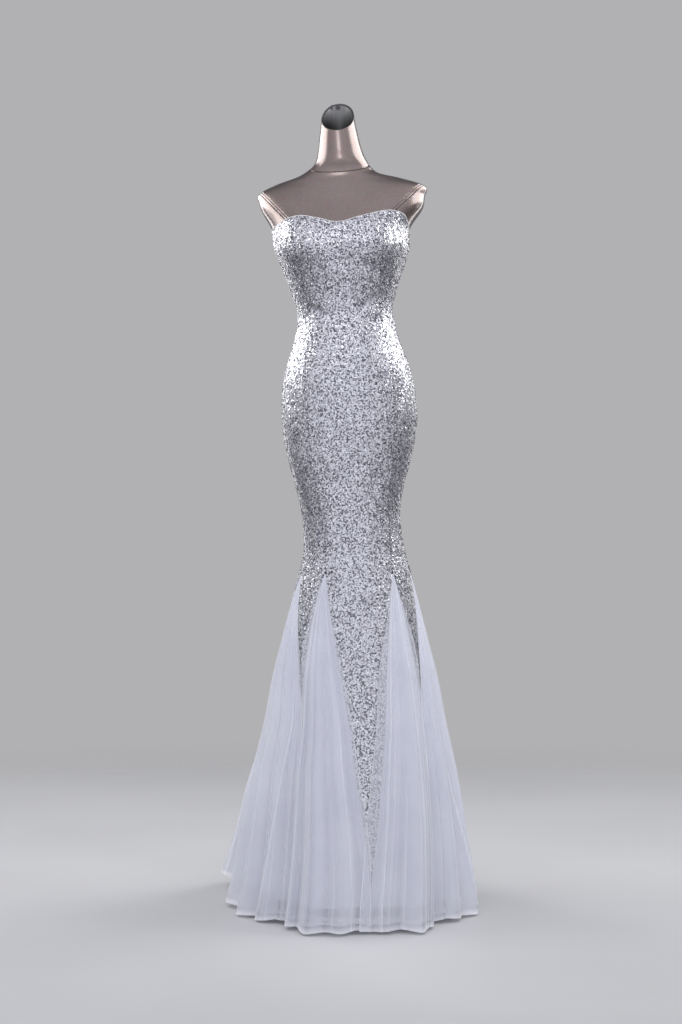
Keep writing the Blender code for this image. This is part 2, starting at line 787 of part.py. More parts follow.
def make_zip():
    """The slider on the centre back seam, and the pull tab that hangs from it."""
    seat, out, up, across = zip_frame()
    size = SLIDER_SIZE
    rings = []
    for height, scale in ((SEAM_GAP, 1.0), (size.y * 0.6, 1.0), (size.y, SLIDER_CROWN)):
        ring = []
        for step in range(SLIDER_SIDES):
            turn = 2 * math.pi * step / SLIDER_SIDES
            flat = across * size.x / 2 * math.cos(turn) + up * size.z / 2 * math.sin(turn)
            ring.append(seat + flat * scale + out * height)
        rings.append(ring)
    make_loft("zip_slider", "zip", rings)
    hinge = seat + out * (size.y + HINGE_OUT) - up * HINGE_DROP
    rings = []
    for depth, scale in ((-0.5, TAB_EDGE), (-0.2, 1.0), (0.2, 1.0), (0.5, TAB_EDGE)):
        ring = []
        for step in range(TAB_SIDES):
            turn = 2 * math.pi * step / TAB_SIDES
            taper = TAB_MEAN_WIDTH - TAB_FLARE * math.sin(turn)
            x = TAB_WIDTH / 2 * math.cos(turn) * taper * scale
            z = TAB_LENGTH / 2 * (math.sin(turn) * scale - 1)
            ring.append(Vector((-x, depth * TAB_THICK, z)))
        rings.append(ring)
    tab = make_loft("zip_pull_tab", "zip", rings)
    tab.location = hinge


def main():
    for old in list(bpy.data.objects):
        bpy.data.objects.remove(old, do_unlink=True)
    for index in range(len(PANELS)):
        make_panel(index)
    godets = ["godet_centre_back", "godet_back_r", "godet_side_r", "godet_front_r",
              "godet_front_l", "godet_side_l", "godet_back_l"]
    for index, name in enumerate(godets):
        make_godet(name, index)
    make_torso()
    make_neck()
    make_socket()
    make_stand()
    make_zip()


main()
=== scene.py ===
"""The looks of a sequin mermaid gown with tulle godets, on a limbless dress form.

Metres, +Z up.  The gown's front faces -Y and the wearer's left is +X.  The frame
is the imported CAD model.  The body's sections, seams, panels and godets are those
of the CAD, read here at a finer step, so each cloth lies on its solid's form.
"""
import math
from collections import namedtuple

import bmesh
import bpy
import numpy as np
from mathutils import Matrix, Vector


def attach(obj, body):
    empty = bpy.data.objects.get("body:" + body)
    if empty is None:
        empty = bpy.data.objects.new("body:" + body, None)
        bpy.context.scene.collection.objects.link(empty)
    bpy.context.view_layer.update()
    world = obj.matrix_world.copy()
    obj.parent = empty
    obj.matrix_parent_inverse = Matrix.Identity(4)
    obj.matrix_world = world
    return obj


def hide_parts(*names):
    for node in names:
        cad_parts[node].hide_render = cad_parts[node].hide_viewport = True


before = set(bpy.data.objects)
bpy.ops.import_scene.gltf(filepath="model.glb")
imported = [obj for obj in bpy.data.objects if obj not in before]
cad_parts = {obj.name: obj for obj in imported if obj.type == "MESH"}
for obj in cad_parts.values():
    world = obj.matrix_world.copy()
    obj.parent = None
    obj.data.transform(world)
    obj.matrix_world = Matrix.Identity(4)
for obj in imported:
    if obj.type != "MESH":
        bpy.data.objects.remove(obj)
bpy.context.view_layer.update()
GOWN_BODY = "gown_on_form"
TAB_BODY = "zip_pull"
SEED = 11

# ---- cloth, as in the CAD ----------------------------------------------------
SEAM_GAP = 0.0003
SEQUIN_WALL = 0.0015
FORM_GAP = 0.0005
HEM_Z = 0.004
APEX_Z = 0.745
BODICE_Z = 1.360
FOLD_GROWTH = 1.1
POINT_TAPER = 1.2

# ---- body: one row for each height, hem to neck ------------------------------
# front and back are the depths before and behind the axis, squareness 2 is an
# ellipse, and turn_deg swings the section towards the wearer's left.
Section = namedtuple("Section", "z half_width front back shift_x turn_deg squareness")
SECTIONS = [Section(*row) for row in (
    (0.000, 0.262, 0.262, 0.375, 0.008, 10, 2.20),
    (0.105, 0.246, 0.244, 0.338, 0.012, 10, 2.20),
    (0.237, 0.227, 0.220, 0.290, 0.012, 10, 2.20),
    (0.325, 0.212, 0.200, 0.255, 0.013, 9, 2.20),
    (0.413, 0.194, 0.178, 0.220, 0.013, 9, 2.15),
    (0.501, 0.180, 0.156, 0.188, 0.012, 8, 2.10),
    (0.589, 0.160, 0.132, 0.155, 0.011, 7, 2.10),
    (0.677, 0.139, 0.110, 0.124, 0.011, 6, 2.10),
    (0.743, 0.121, 0.094, 0.102, 0.012, 6, 2.10),
    (0.787, 0.111, 0.087, 0.093, 0.010, 7, 2.10),
    (0.853, 0.107, 0.084, 0.089, 0.004, 8, 2.10),
    (0.897, 0.112, 0.086, 0.092, 0.001, 7, 2.10),
    (0.941, 0.122, 0.089, 0.101, 0.000, 6, 2.10),
    (0.985, 0.134, 0.093, 0.112, 0.000, 5, 2.10),
    (1.029, 0.143, 0.097, 0.122, 0.000, 3, 2.10),
    (1.073, 0.148, 0.101, 0.128, 0.000, 2, 2.10),
    (1.117, 0.147, 0.102, 0.127, -0.001, 2, 2.10),
    (1.161, 0.142, 0.101, 0.120, -0.003, 1, 2.10),
    (1.205, 0.130, 0.097, 0.107, -0.004, 0, 2.10),
    (1.249, 0.115, 0.089, 0.092, -0.006, 0, 2.10),
    (1.293, 0.105, 0.081, 0.081, -0.009, -1, 2.10),
    (1.325, 0.107, 0.083, 0.083, -0.012, -1, 2.10),
    (1.359, 0.117, 0.090, 0.088, -0.014, -2, 2.10),
    (1.403, 0.132, 0.102, 0.094, -0.015, -3, 2.20),
    (1.447, 0.147, 0.111, 0.097, -0.017, -4, 2.30),
    (1.491, 0.153, 0.106, 0.096, -0.019, -4, 2.40),
    (1.531, 0.176, 0.089, 0.094, -0.015, -5, 2.50),
    (1.557, 0.182, 0.074, 0.088, -0.017, -5, 2.50),
    (1.578, 0.183, 0.060, 0.078, -0.017, -5, 2.40),
    (1.597, 0.138, 0.048, 0.066, -0.023, -5, 2.20),
    (1.610, 0.093, 0.045, 0.058, -0.025, -5, 2.10),
    (1.623, 0.072, 0.046, 0.053, -0.022, -5, 2.00),
    (1.637, 0.059, 0.050, 0.051, -0.019, -5, 2.00),
    (1.663, 0.049, 0.047, 0.048, -0.021, -5, 2.00),
    (1.700, 0.042, 0.044, 0.046, -0.024, -5, 2.00),
    (1.742, 0.036, 0.042, 0.044, -0.026, -5, 2.00),
    (1.800, 0.035, 0.041, 0.043, -0.028, -5, 2.00),
)]
# the left shoulder lies higher: the rise for each metre across, and where it starts
SHOULDER_ROLL = 0.038
ROLL_FROM = 1.450
ROLL_TO = 1.570

# ---- bust: two soft cups -----------------------------------------------------
BUST_RISE = 0.011
BUST_Z = 1.447
BUST_HEIGHT = 0.050
BUST_DEG = 33
BUST_SPREAD_DEG = 24

# ---- neckline: height of the gown's top edge round the body ------------------
Edge = namedtuple("Edge", "angle_deg z")
NECKLINE = [Edge(*row) for row in (
    (-180, 1.400), (-140, 1.424), (-105, 1.467), (-83, 1.486), (-55, 1.497), (-28, 1.512),
    (-12, 1.504), (0, 1.494), (12, 1.505), (33, 1.518), (52, 1.513), (68, 1.500),
    (83, 1.486), (105, 1.467), (140, 1.424), (180, 1.400),
)]

# ---- seams: angles from the centre front, the same on both sides -------------
Seam = namedtuple("Seam", "z front side back")
SEAMS = [Seam(*row) for row in (
    (0.745, 36, 79, 140), (0.853, 42, 83, 140), (1.100, 38, 86, 142), (1.293, 46, 90, 136),
    (1.447, 38, 88, 140), (1.520, 38, 88, 140),
)]

# ---- panels, from the centre back round the wearer's right side --------------
# tip_deg and tip_z are where the panel's point ends, hem_deg is where the seam
# that goes on from it meets the hem, and tip_out is how far the cloth there lies
# outside (or inside) the body's section at the hem.
Panel = namedtuple("Panel", "name tip_deg tip_z hem_deg tip_out")
PANELS = [
    Panel("panel_back_r", -158, 0.170, -158, -0.020),
    Panel("panel_side_back_r", -113, 0.300, -113, -0.020),
    Panel("panel_side_front_r", -48, 0.440, -48, -0.050),
    Panel("panel_front", -2, 0.055, -2, 0.000),
    Panel("panel_side_front_l", 44, 0.440, 33, -0.040),
    Panel("panel_side_back_l", 102, 0.300, 102, -0.020),
    Panel("panel_back_l", 155, 0.170, 155, -0.020),
]
FRONT_PANEL = 3

# ---- godets, each before the panel of its own number -------------------------
# laps: how far the outer tulle laps over the panel on each side, at most.
# folds: (across, out, lift).  across runs from 0 to 1 between the two panels, out
# is the fold's distance outside the section at the hem, and lift the hem's height
# over the floor.
# fine_folds, on top of them: (across, width, depth, start, lean).  depth is at the
# hem, start is how far down the godet the fold begins as a share of its length,
# and lean is how much further across it lies at the top than at the hem.
Godet = namedtuple("Godet", "laps folds fine_folds")
GODETS = {
    "godet_centre_back": Godet((0.008, 0.008), [
        (0.15, 0.010, 0.001), (0.32, -0.018, 0.002), (0.50, 0.022, 0.000),
        (0.67, -0.020, 0.002), (0.84, 0.012, 0.001),
    ], [
        (0.09, 0.010, 0.004, 0.20, 0.00), (0.20, 0.018, -0.006, 0.30, 0.00),
        (0.31, 0.010, 0.005, 0.05, -0.04), (0.44, 0.009, 0.002, 0.60, 0.00),
        (0.62, 0.012, 0.006, 0.30, 0.20), (0.70, 0.018, -0.005, 0.40, 0.00),
        (0.86, 0.010, 0.004, 0.10, 0.00),
    ]),
    "godet_back_r": Godet((0.007, 0.010), [
        (0.16, 0.008, 0.001), (0.30, -0.016, 0.010), (0.50, 0.081, 0.024),
        (0.70, 0.000, 0.014), (0.85, 0.012, 0.002),
    ], [
        (0.08, 0.010, 0.003, 0.35, 0.00), (0.17, 0.016, -0.005, 0.20, 0.00),
        (0.27, 0.010, 0.005, 0.05, 0.04), (0.40, 0.009, 0.003, 0.50, 0.00),
        (0.57, 0.010, 0.005, 0.20, -0.14), (0.66, 0.008, 0.002, 0.60, 0.00),
        (0.80, 0.018, -0.006, 0.35, 0.00), (0.91, 0.010, 0.004, 0.10, 0.00),
    ]),
    "godet_side_r": Godet((0.009, 0.010), [
        (0.10, 0.000, 0.004), (0.23, 0.014, 0.006), (0.34, -0.014, 0.003),
        (0.48, 0.004, 0.000), (0.60, -0.026, 0.002), (0.72, -0.014, 0.000),
        (0.86, -0.040, 0.004),
    ], [
        (0.14, 0.016, -0.005, 0.30, 0.00), (0.22, 0.010, 0.004, 0.15, 0.04),
        (0.33, 0.010, 0.002, 0.60, 0.00), (0.46, 0.012, 0.004, 0.40, -0.03),
        (0.58, 0.018, -0.006, 0.30, 0.00), (0.70, 0.010, 0.006, 0.30, 0.24),
        (0.78, 0.009, 0.002, 0.65, 0.00), (0.90, 0.010, 0.003, 0.45, 0.03),
    ]),
    "godet_front_r": Godet((0.020, 0.007), [
        (0.10, -0.008, 0.004), (0.22, -0.014, 0.003), (0.42, 0.030, 0.000),
        (0.58, 0.014, 0.002), (0.72, 0.020, 0.001), (0.88, 0.000, 0.003),
    ], [
        (0.12, 0.012, 0.006, 0.00, 0.03), (0.21, 0.018, -0.006, 0.25, 0.00),
        (0.31, 0.010, 0.004, 0.50, -0.04), (0.36, 0.008, 0.002, 0.70, 0.00),
        (0.66, 0.008, 0.002, 0.72, 0.00), (0.72, 0.008, 0.002, 0.62, 0.02),
        (0.83, 0.009, 0.003, 0.35, 0.00),
    ]),
    "godet_front_l": Godet((0.020, 0.022), [
        (0.16, 0.012, 0.002), (0.32, 0.002, 0.003), (0.54, 0.036, 0.000),
        (0.66, 0.016, 0.002), (0.80, 0.002, 0.001),
    ], [
        (0.10, 0.010, 0.005, 0.00, -0.02), (0.17, 0.008, 0.003, 0.35, 0.00),
        (0.36, 0.010, 0.003, 0.55, 0.02), (0.52, 0.010, 0.003, 0.60, 0.00),
        (0.60, 0.009, 0.004, 0.50, -0.02), (0.72, 0.020, -0.007, 0.35, 0.00),
        (0.90, 0.010, 0.004, 0.10, 0.00),
    ]),
    "godet_side_l": Godet((0.005, 0.008), [
        (0.10, -0.022, 0.004), (0.22, -0.004, 0.002), (0.32, -0.012, 0.002),
        (0.46, 0.013, 0.000), (0.60, -0.014, 0.002), (0.76, 0.016, 0.000),
        (0.90, -0.012, 0.003),
    ], [
        (0.13, 0.016, -0.004, 0.30, 0.00), (0.22, 0.009, 0.003, 0.45, 0.00),
        (0.50, 0.012, 0.006, 0.35, -0.42), (0.58, 0.010, 0.003, 0.55, -0.10),
        (0.68, 0.018, -0.006, 0.25, 0.00), (0.80, 0.010, 0.005, 0.05, 0.03),
        (0.93, 0.010, 0.003, 0.40, 0.00),
    ]),
    "godet_back_l": Godet((0.010, 0.007), [
        (0.16, 0.008, 0.002), (0.32, -0.018, 0.003), (0.54, 0.036, 0.002),
        (0.72, -0.010, 0.003), (0.86, 0.010, 0.001),
    ], [
        (0.11, 0.010, 0.004, 0.30, 0.00), (0.20, 0.018, -0.006, 0.20, 0.00),
        (0.30, 0.010, 0.006, 0.00, 0.05), (0.52, 0.009, 0.003, 0.55, 0.00),
        (0.60, 0.010, 0.004, 0.35, 0.12), (0.76, 0.018, -0.006, 0.35, 0.00),
        (0.88, 0.010, 0.004, 0.15, 0.00),
    ]),
}
GODET_TOP = 0.737
GODET_ROWS = 34
ROWS_POWER = 1.15
FINE_GROWTH = 0.9
# shares of the height below the apex over which a thing fades in
LAP_FADE = 0.35
RISE_FADE = (0.02, 0.20)
TOP_FADE = 0.12
LIFT_POWER = 4
WANDER_POWER = 30
# the most of a panel that a lap covers
LAP_SHARE = 0.45
# the share of a godet, at each edge, over which its folds fade in
EDGE_SHARE = 0.05
# how many uneven waves lie side by side, coarse to fine
THREADS = (9, 23, 51)
FLUTTER_WAVES = (7, 17)
HEM_WAVES = (5, 13)
FLUTTER = 0.0012
FLUTTER_HEIGHT = 0.10
HEM_WANDER = 0.0024
HEM_LINE = 0.0016
# how dense the tulle looks: more on slopes, at edges and at the top; and the painted
# highlight, a near-white colour with some more cover, along the hem and the edges
COVER_LIMITS = (0.05, 0.97)
EDGE_COVER = 0.35
SLOPE_COVER = 1.1
TOP_COVER = 0.25
HEM_HIGHLIGHT = 0.7
EDGE_HIGHLIGHT = 0.8
# the painted highlight lines along the fine folds' crests: the depth at which they are
# brightest
LINE_DEPTH = 0.0095
LINE_WIDTH = 0.0012
LINE_FADE = 0.15
GODET_SEED = SEED * 7
# how much weaker the finer threads are, points that measure the hem, least step
THREAD_POWER = 0.35
HEM_SAMPLES = 40
LEAST_RUN = 1e-5

# ---- creases of the fitted cloth: soft troughs (depth below 0) and ridges ----
# angle_deg, z, tilt_deg, length, width and depth.  tilt_deg turns a crease from
# upright towards the wearer's left at its top.
CREASES = [
    (34, 1.462, 2, 0.056, 0.005, -0.0042),
    (29, 1.455, -6, 0.045, 0.012, 0.0016),
    (-34, 1.446, -4, 0.050, 0.009, -0.0018),
    (-26, 1.402, 62, 0.056, 0.011, -0.0022),
    (27, 1.400, -66, 0.062, 0.012, -0.0025),
    (2, 1.412, 88, 0.060, 0.016, -0.0016),
    (24, 1.318, 58, 0.090, 0.013, -0.0034),
    (6, 1.296, 70, 0.080, 0.012, 0.0018),
    (30, 1.282, 64, 0.070, 0.011, -0.0026),
    (-30, 1.306, -66, 0.080, 0.012, -0.0024),
    (-12, 1.276, -76, 0.070, 0.011, -0.0016),
    (-40, 1.262, -58, 0.055, 0.010, 0.0014),
    (16, 1.232, 74, 0.080, 0.014, -0.0014),
    (-22, 0.940, -28, 0.090, 0.016, -0.0022),
    (20, 0.925, 24, 0.080, 0.015, -0.0020),
    (2, 0.850, 4, 0.130, 0.020, -0.0014),
    (-44, 0.820, -10, 0.100, 0.012, -0.0012),
    (46, 0.815, 12, 0.090, 0.012, -0.0020),
    (96, 1.316, -54, 0.070, 0.012, -0.0026),
    (88, 1.284, -70, 0.060, 0.011, 0.0016),
    (-98, 1.310, 56, 0.075, 0.012, -0.0026),
    (-90, 1.272, 72, 0.060, 0.011, -0.0018),
    (150, 1.322, -60, 0.080, 0.013, -0.0032),
    (-152, 1.318, 62, 0.080, 0.013, -0.0032),
    (168, 1.290, -78, 0.070, 0.012, -0.0028),
    (-166, 1.284, 80, 0.070, 0.012, -0.0026),
    (136, 0.960, 36, 0.110, 0.016, -0.0030),
    (-138, 0.955, -34, 0.100, 0.016, -0.0028),
    (160, 0.905, 70, 0.080, 0.014, -0.0020),
    (-118, 0.842, -12, 0.090, 0.014, -0.0018),
    (112, 0.838, 10, 0.100, 0.014, -0.0020),
]
SEAM_DIP = 0.0007
SEAM_WIDTH = 0.0035
CLOTH_STEP = 0.009
BODICE_ROWS = 15
TIP_START = 0.006
WIDEST_Z = 1.09
LEAST_WIDTH = 0.004
EDGE_PASSES = 3
ROW_SAMPLES = 48

# ---- sequins, and the net under them -----------------------------------------
NET_WALL = SEQUIN_WALL * 0.8
SEQUIN_RADIUS = 0.0018
SEQUIN_PITCH = 0.0032
ROW_PITCH = SEQUIN_PITCH * 0.866
SEQUIN_START = 0.010
SEQUIN_END_Z = 1.525
SEQUIN_SIDES = 8
SIZE_FROM, SIZE_SPREAD = 0.94, 0.12
# the steps up and round the body that give the cloth's slope under a sequin
SLOPE_RISE = 0.004
SLOPE_TURN = 0.004 / 0.12
SEQUIN_TILT = 0.13
SEQUIN_LIFT = 0.0005
SEQUIN_LAYER = 0.0005
SEQUIN_SHAKE = 0.28
SEQUIN_EDGE = 0.0006
SEQUIN_TOP_EDGE = 0.0016
SEQUIN_LOOSE = 0.10
# random sequin tones: the darkest ones are painted dark reflection, of sequins turned away
# from the light
TONE_SHAPE = (2.2, 1.5)
TONE_STEPS = 16
TONE_CELLS = 4
TONE_REACH = 0.4

# ---- tulle layers: outer, middle and lining ----------------------------------
# inset grows towards the hem, raise_hem is how far the layer's hem stops above
# the outer one, swing and fine are the shares of the folds' and the fine folds'
# depth, and slip moves the folds across the godet.  reach is the share of the
# overlap over the next panels that the layer has, and rise its height there.
Layer = namedtuple(
    "Layer", "name wall step inset raise_hem swing fine slip reach rise cover streak")
LAYERS = [
    Layer("outer", 0.0004, 0.0025, 0.0, 0.0, 1.0, 0.7, 0.0, 1.0, 0.0030, 0.24, 0.04),
    Layer("middle", 0.0004, 0.0032, 0.0055, 0.012, 0.8, 0.5, 0.018, 0.12, 0.0018, 0.20, 0.04),
    Layer("lining", 0.0006, 0.0060, 0.0130, 0.042, 0.4, 0.2, -0.012, 0.0, 0.0, 0.86, 0.02),
]

# ---- dress form --------------------------------------------------------------
TORSO_BOTTOM = 0.960
BARE_FROM = 1.510
BARE_TO = 1.556
SHOULDER_TOP = 1.600
ARM_CUT_TOP = Vector((0.181, 0.000, 1.579))
ARM_CUT_TILT = math.radians(43)
ARM_CUT_BOTTOM = 1.470
ARM_GAP = 0.0004
ARM_RING = 0.0055
GROOVE_REACH = 0.0008
GROOVE_DEPTH = 0.0008
NECK_GROOVE = 0.0016
NECK_BASE_Z = 1.634
NECK_BASE_SLOPE = 0.50
NECK_WALL = 0.004
NECK_FLOOR_Z = 1.680
NECK_COLUMNS = 72
# the neck's rings: the first and last shares of its height, and how many
NECK_FOOT = 0.010
NECK_RINGS = (0.03, 0.985, 26)
LIP_STEP_DEG = 30
INSIDE_RINGS = 12
NECK_LIP = 0.0007
LIP_DROP = 0.002
MOUTH_Z = 1.741
MOUTH_SLOPE = 0.88
SLANT_PASSES = 12
FORM_COLUMNS = 168
# the torso's rings: under the bodice, under its top, over the shoulders, to the neck
LOW_RINGS, BUST_RINGS, SHOULDER_RINGS, ROOT_RINGS = 30, 34, 22, 14
# heights inside the neck over which the painted shade fades out upwards
PAINTED_SHADE_FROM, PAINTED_SHADE_TO = 1.720, 1.768
SLOT_Z = 1.7690
SLOT_LIFT = 0.0002
SLOT_DEPTH = 0.0006
SLOT_SIDES = 16
# the two slots: angle from the centre front, half width and half height
SLOTS = {"slot_wide": (184, 0.0060, 0.0048), "slot_narrow": (210, 0.0022, 0.0060)}
SHARP_DEG = 50
FORM_SHARP_DEG = 60
# how close a point lies that counts as near, or on, a plane
NEAR = 1e-4
ON_PLANE = 1e-5

# ---- binding and zip ---------------------------------------------------------
TUBE_UP = (0.0, 0.31, 0.95)
TUBE_SIDES = 8
CORD_POINTS = 220
CORD_RADIUS = 0.0011
CORD_RISE = 0.0002
CORD_SINK = SEQUIN_WALL * 0.3
LIP_HEIGHTS = (1.055, 1.392)
LIP_POINTS = 120
LIP_RADIUS = 0.0008
LIP_APART = 0.0009
LIP_SINK = 0.0002
SLIDER_Z = 1.386
SLIDER_SIZE = Vector((0.0055, 0.0030, 0.0090))
# the slider's rim: height over the seat and scale of its outline
SLIDER_LEVELS = [
    (SEAM_GAP, 0.86), (0.0008, 1.0), (0.0020, 1.0), (0.0027, 0.92), (0.0030, 0.74)]
SLIDER_WAIST = 0.86
SLIDER_SIDES = 40
TAB_THICK = 0.00084
HINGE_DROP = 0.0015
HINGE_OUT = 0.0011
# the tab's half width at heights from its hinge
TAB_OUTLINE = [
    (0.0010, 0.0005), (0.0008, 0.0009), (0.0003, 0.0011), (-0.0040, 0.0012),
    (-0.0100, 0.0014), (-0.0170, 0.0017), (-0.0210, 0.0017), (-0.0230, 0.0013),
    (-0.0238, 0.0008), (-0.0240, 0.0003),
]
# its slot and hole: half width, middle and half height
TAB_OPENINGS = [(0.0006, -0.0013, 0.0017), (0.0008, -0.0195, 0.0008)]
OPENING_SIDES = 20
TAB_BEVEL = 0.00012
BRIDGE_REACH = 0.0052
BRIDGE_FOOT = 0.0024
BRIDGE_HALF = 0.0028
BRIDGE_RADIUS = 0.0004
BRIDGE_POINTS = 17

# ---- camera and studio -------------------------------------------------------
CAMERA_PLACE = Vector((-0.019, -4.15, 0.871))
CAMERA_LENS = 66.3
CAMERA_SENSOR = 36.0
# distances at which the floor starts and ends its fade, and how solid it is there
FLOOR_FADE = (1.2, 3.2, 1.0, 0.0)
FLOOR_DROP = 0.0005
FLOOR_SIDES = 64
# light from all round, strongest along SKY_AIM: how far a direction agrees with it,
# from and to, and how strong the light is there
SKY_AIM = (0.0, -0.92, 0.39)
SKY_NARROW = (1.45, 1.0, 1.0)
SKY_RISE = (-0.3, 0.95, 0.15, 1.22)
WHITE, WARM = (1.0, 1.0, 1.0), (1.0, 0.99, 0.98)
Lamp = namedtuple("Lamp", "name place aim width height power colour spread_deg")
LAMPS = [Lamp(*row) for row in (
    ("side_right", (-1.26, 0.42, 1.96), (0, 0, 1.6), 1.6, 0.85, 20.5, (1.0, 1.0, 0.99), 180),
    ("side_left", (1.26, 0.30, 2.20), (0, 0, 1.6), 1.7, 1.25, 29, (1.0, 1.0, 0.99), 180),
    ("low_right", (-2.2, 0.7, 1.5), (0, 0, 1.3), 0.6, 1.2, 4.5, WARM, 180),
    ("low_left", (2.2, 0.9, 1.5), (0, 0, 1.3), 0.6, 1.2, 3.5, WARM, 180),
    ("rim_right", (-1.8, 2.0, 1.3), (0, 0, 0.95), 0.5, 2.0, 11, WHITE, 180),
    ("rim_left", (1.8, 2.0, 1.3), (0, 0, 0.95), 0.5, 2.0, 8, WHITE, 180),
    ("top", (-0.28, -0.36, 3.5), (0, 0, 1.5), 0.7, 0.7, 0.4, (0.97, 0.98, 1.0), 180),
    ("front", (-0.32, -2.6, 2.72), (0, 0, 1.66), 0.95, 0.95, 0.24, WHITE, 22),
)]


# ---- reading the tables ------------------------------------------------------
def read(rows, key, column):
    """Read one column on a smooth curve through the rows, by their first column."""
    keys = np.array([row[0] for row in rows], float)
    values = np.array([getattr(row, column) for row in rows], float)
    index = np.arange(len(keys))
    before, after = np.maximum(index - 1, 0), np.minimum(index + 1, len(keys) - 1)
    slope = (values[after] - values[before]) / (keys[after] - keys[before])
    key = np.clip(key, keys[0], keys[-1])
    low = np.clip(np.searchsorted(keys, key) - 1, 0, len(keys) - 2)
    span = keys[low + 1] - keys[low]
    t = (key - keys[low]) / span
    return (
        values[low] * (2 * t ** 3 - 3 * t ** 2 + 1)
        + slope[low] * span * (t ** 3 - 2 * t ** 2 + t)
        + values[low + 1] * (3 * t ** 2 - 2 * t ** 3)
        + slope[low + 1] * span * (t ** 3 - t ** 2)
    )


def smooth_step(low, high, value):
    """Rise from 0 at low to 1 at high without a corner."""
    t = np.clip((value - low) / (high - low), 0.0, 1.0)
    return t * t * (3 - 2 * t)


def unit(vectors):
    """Vectors of length 1."""
    return vectors / np.linalg.norm(vectors, axis=-1, keepdims=True)


# ---- the body's surface ------------------------------------------------------
def section_point(z, angle):
    """Points of the sections, before they are turned and shifted."""
    power = 2 / read(SECTIONS, z, "squareness")
    sine, cosine = np.sin(angle), np.cos(angle)
    depth = np.where(cosine > 0, read(SECTIONS, z, "front"), read(SECTIONS, z, "back"))
    across = (np.abs(np.degrees(np.arctan2(sine, cosine))) - BUST_DEG) / BUST_SPREAD_DEG
    cup = BUST_RISE * np.exp(-across ** 2 - ((z - BUST_Z) / BUST_HEIGHT) ** 2)
    x = read(SECTIONS, z, "half_width") * np.sign(sine) * np.abs(sine) ** power
    y = -depth * np.sign(cosine) * np.abs(cosine) ** power - cup
    return np.stack([x, y, z], axis=-1)


def place(points, level=None):
    """Turn and shift the sections' points to where the body stands, or all as at one level."""
    x, y, z = np.moveaxis(np.asarray(points), -1, 0)
    level = z if level is None else level
    turn = np.radians(read(SECTIONS, level, "turn_deg"))
    turned_x = x * np.cos(turn) - y * np.sin(turn)
    turned_y = x * np.sin(turn) + y * np.cos(turn)
    roll = SHOULDER_ROLL * turned_x * smooth_step(ROLL_FROM, ROLL_TO, level)
    return np.stack([turned_x + read(SECTIONS, level, "shift_x"), turned_y, z + roll], axis=-1)


def on_body(z, angle):
    """The body's surface at heights and angles from the centre front."""
    z, angle = np.broadcast_arrays(np.asarray(z, float), np.asarray(angle, float))
    return place(section_point(z, angle))


def outward(z, angle):
    """The body's surface normals."""
    turn, rise = 0.01, 0.002
    along = on_body(z, angle + turn) - on_body(z, angle - turn)
    upward = on_body(z + rise, angle) - on_body(z - rise, angle)
    return unit(np.cross(along, upward))


def level_outward(z, angle):
    """The normals without their upward part."""
    return unit(outward(z, angle) * (1, 1, 0))


def neckline(angle):
    """The height of the gown's top edge."""
    return read(NECKLINE, np.degrees(angle), "z")


def fold_size(z):
    """The share of a fold's full depth that it has at a height."""
    return (np.maximum(APEX_Z - z, 0.0) / APEX_Z) ** FOLD_GROWTH


# ---- seam lines --------------------------------------------------------------
def seam_angle(number, z):
    """One of the eight seam angles, from the centre back round to itself."""
    sign = -1 if number < 4 else 1
    column = ("centre", "back", "side", "front")[min(number, 7 - number)]
    if column == "centre":
        return np.full_like(np.asarray(z, float), sign * math.pi)
    return sign * np.radians(read(SEAMS, z, column))


def panel_edges(index, z):
    """The right and left edge angles of a panel at heights up to the bodice."""
    z = np.asarray(z, float)
    panel = PANELS[index]
    level = np.maximum(z, APEX_Z)
    right, left = seam_angle(index, level), seam_angle(index + 1, level)
    down = np.clip((APEX_Z - z) / (APEX_Z - panel.tip_z), 0.0, 1.0)
    middle = (right + left) / 2
    middle = middle + (math.radians(panel.tip_deg) - middle) * down
    below = np.maximum(panel.tip_z - z, 0.0) / panel.tip_z
    middle = middle + math.radians(panel.hem_deg - panel.tip_deg) * below
    widening = read(SECTIONS, np.minimum(z, APEX_Z), "half_width")
    widening = widening / read(SECTIONS, APEX_Z, "half_width")
    half = (left - right) / 2 * (1 - down) ** POINT_TAPER / widening
    return middle - half, middle + half


def godet_edges(index, z):
    """The edge angles of the godet before panel index, 0 being the centre back."""
    right = panel_edges((index - 1) % len(PANELS), z)[1]
    left = panel_edges(index, z)[0]
    return right, left + (2 * math.pi if index == 0 else 0)


def creased(z, angle):
    """How far the creases lift the fitted cloth."""
    lift = np.zeros(np.broadcast(z, angle).shape)
    for middle_deg, middle_z, tilt_deg, length, width, depth in CREASES:
        radius = read(SECTIONS, middle_z, "half_width")
        turn = np.degrees(angle) - middle_deg
        turn = np.radians((turn + 180) % 360 - 180) * radius
        rise = z - middle_z
        tilt = math.radians(tilt_deg)
        along = rise * math.cos(tilt) + turn * math.sin(tilt)
        beside = turn * math.cos(tilt) - rise * math.sin(tilt)
        lift += depth * np.exp(-((along / length) ** 2 * 4 + (beside / width) ** 2))
    return lift


def panel_surface(index, z, angle, edge_distance):
    """A panel's outer surface, creased, and dipped along its seams."""
    panel = PANELS[index]
    out = panel.tip_out * fold_size(z)
    points = on_body(z, angle) + level_outward(z, angle) * out[..., None]
    dip = SEAM_DIP * np.exp(-(edge_distance / SEAM_WIDTH) ** 2)
    height = creased(z, angle) - dip
    return points + outward(z, angle) * height[..., None]


# ---- making meshes -----------------------------------------------------------
def circle(count, start=0.0):
    """Even angles once round."""
    return np.linspace(start, start + 2 * math.pi, count, endpoint=False)


def link_object(name, data):
    """An object in the scene."""
    linked = bpy.data.objects.new(name, data)
    bpy.context.scene.collection.objects.link(linked)
    return linked


def link_piece(name, data, material, sharp_deg=None):
    """An object of a mesh, smooth except at edges sharper than sharp_deg."""
    data.materials.append(material)
    if sharp_deg:
        data.shade_smooth()
        data.set_sharp_from_angle(angle=math.radians(sharp_deg))
    return link_object(name, data)


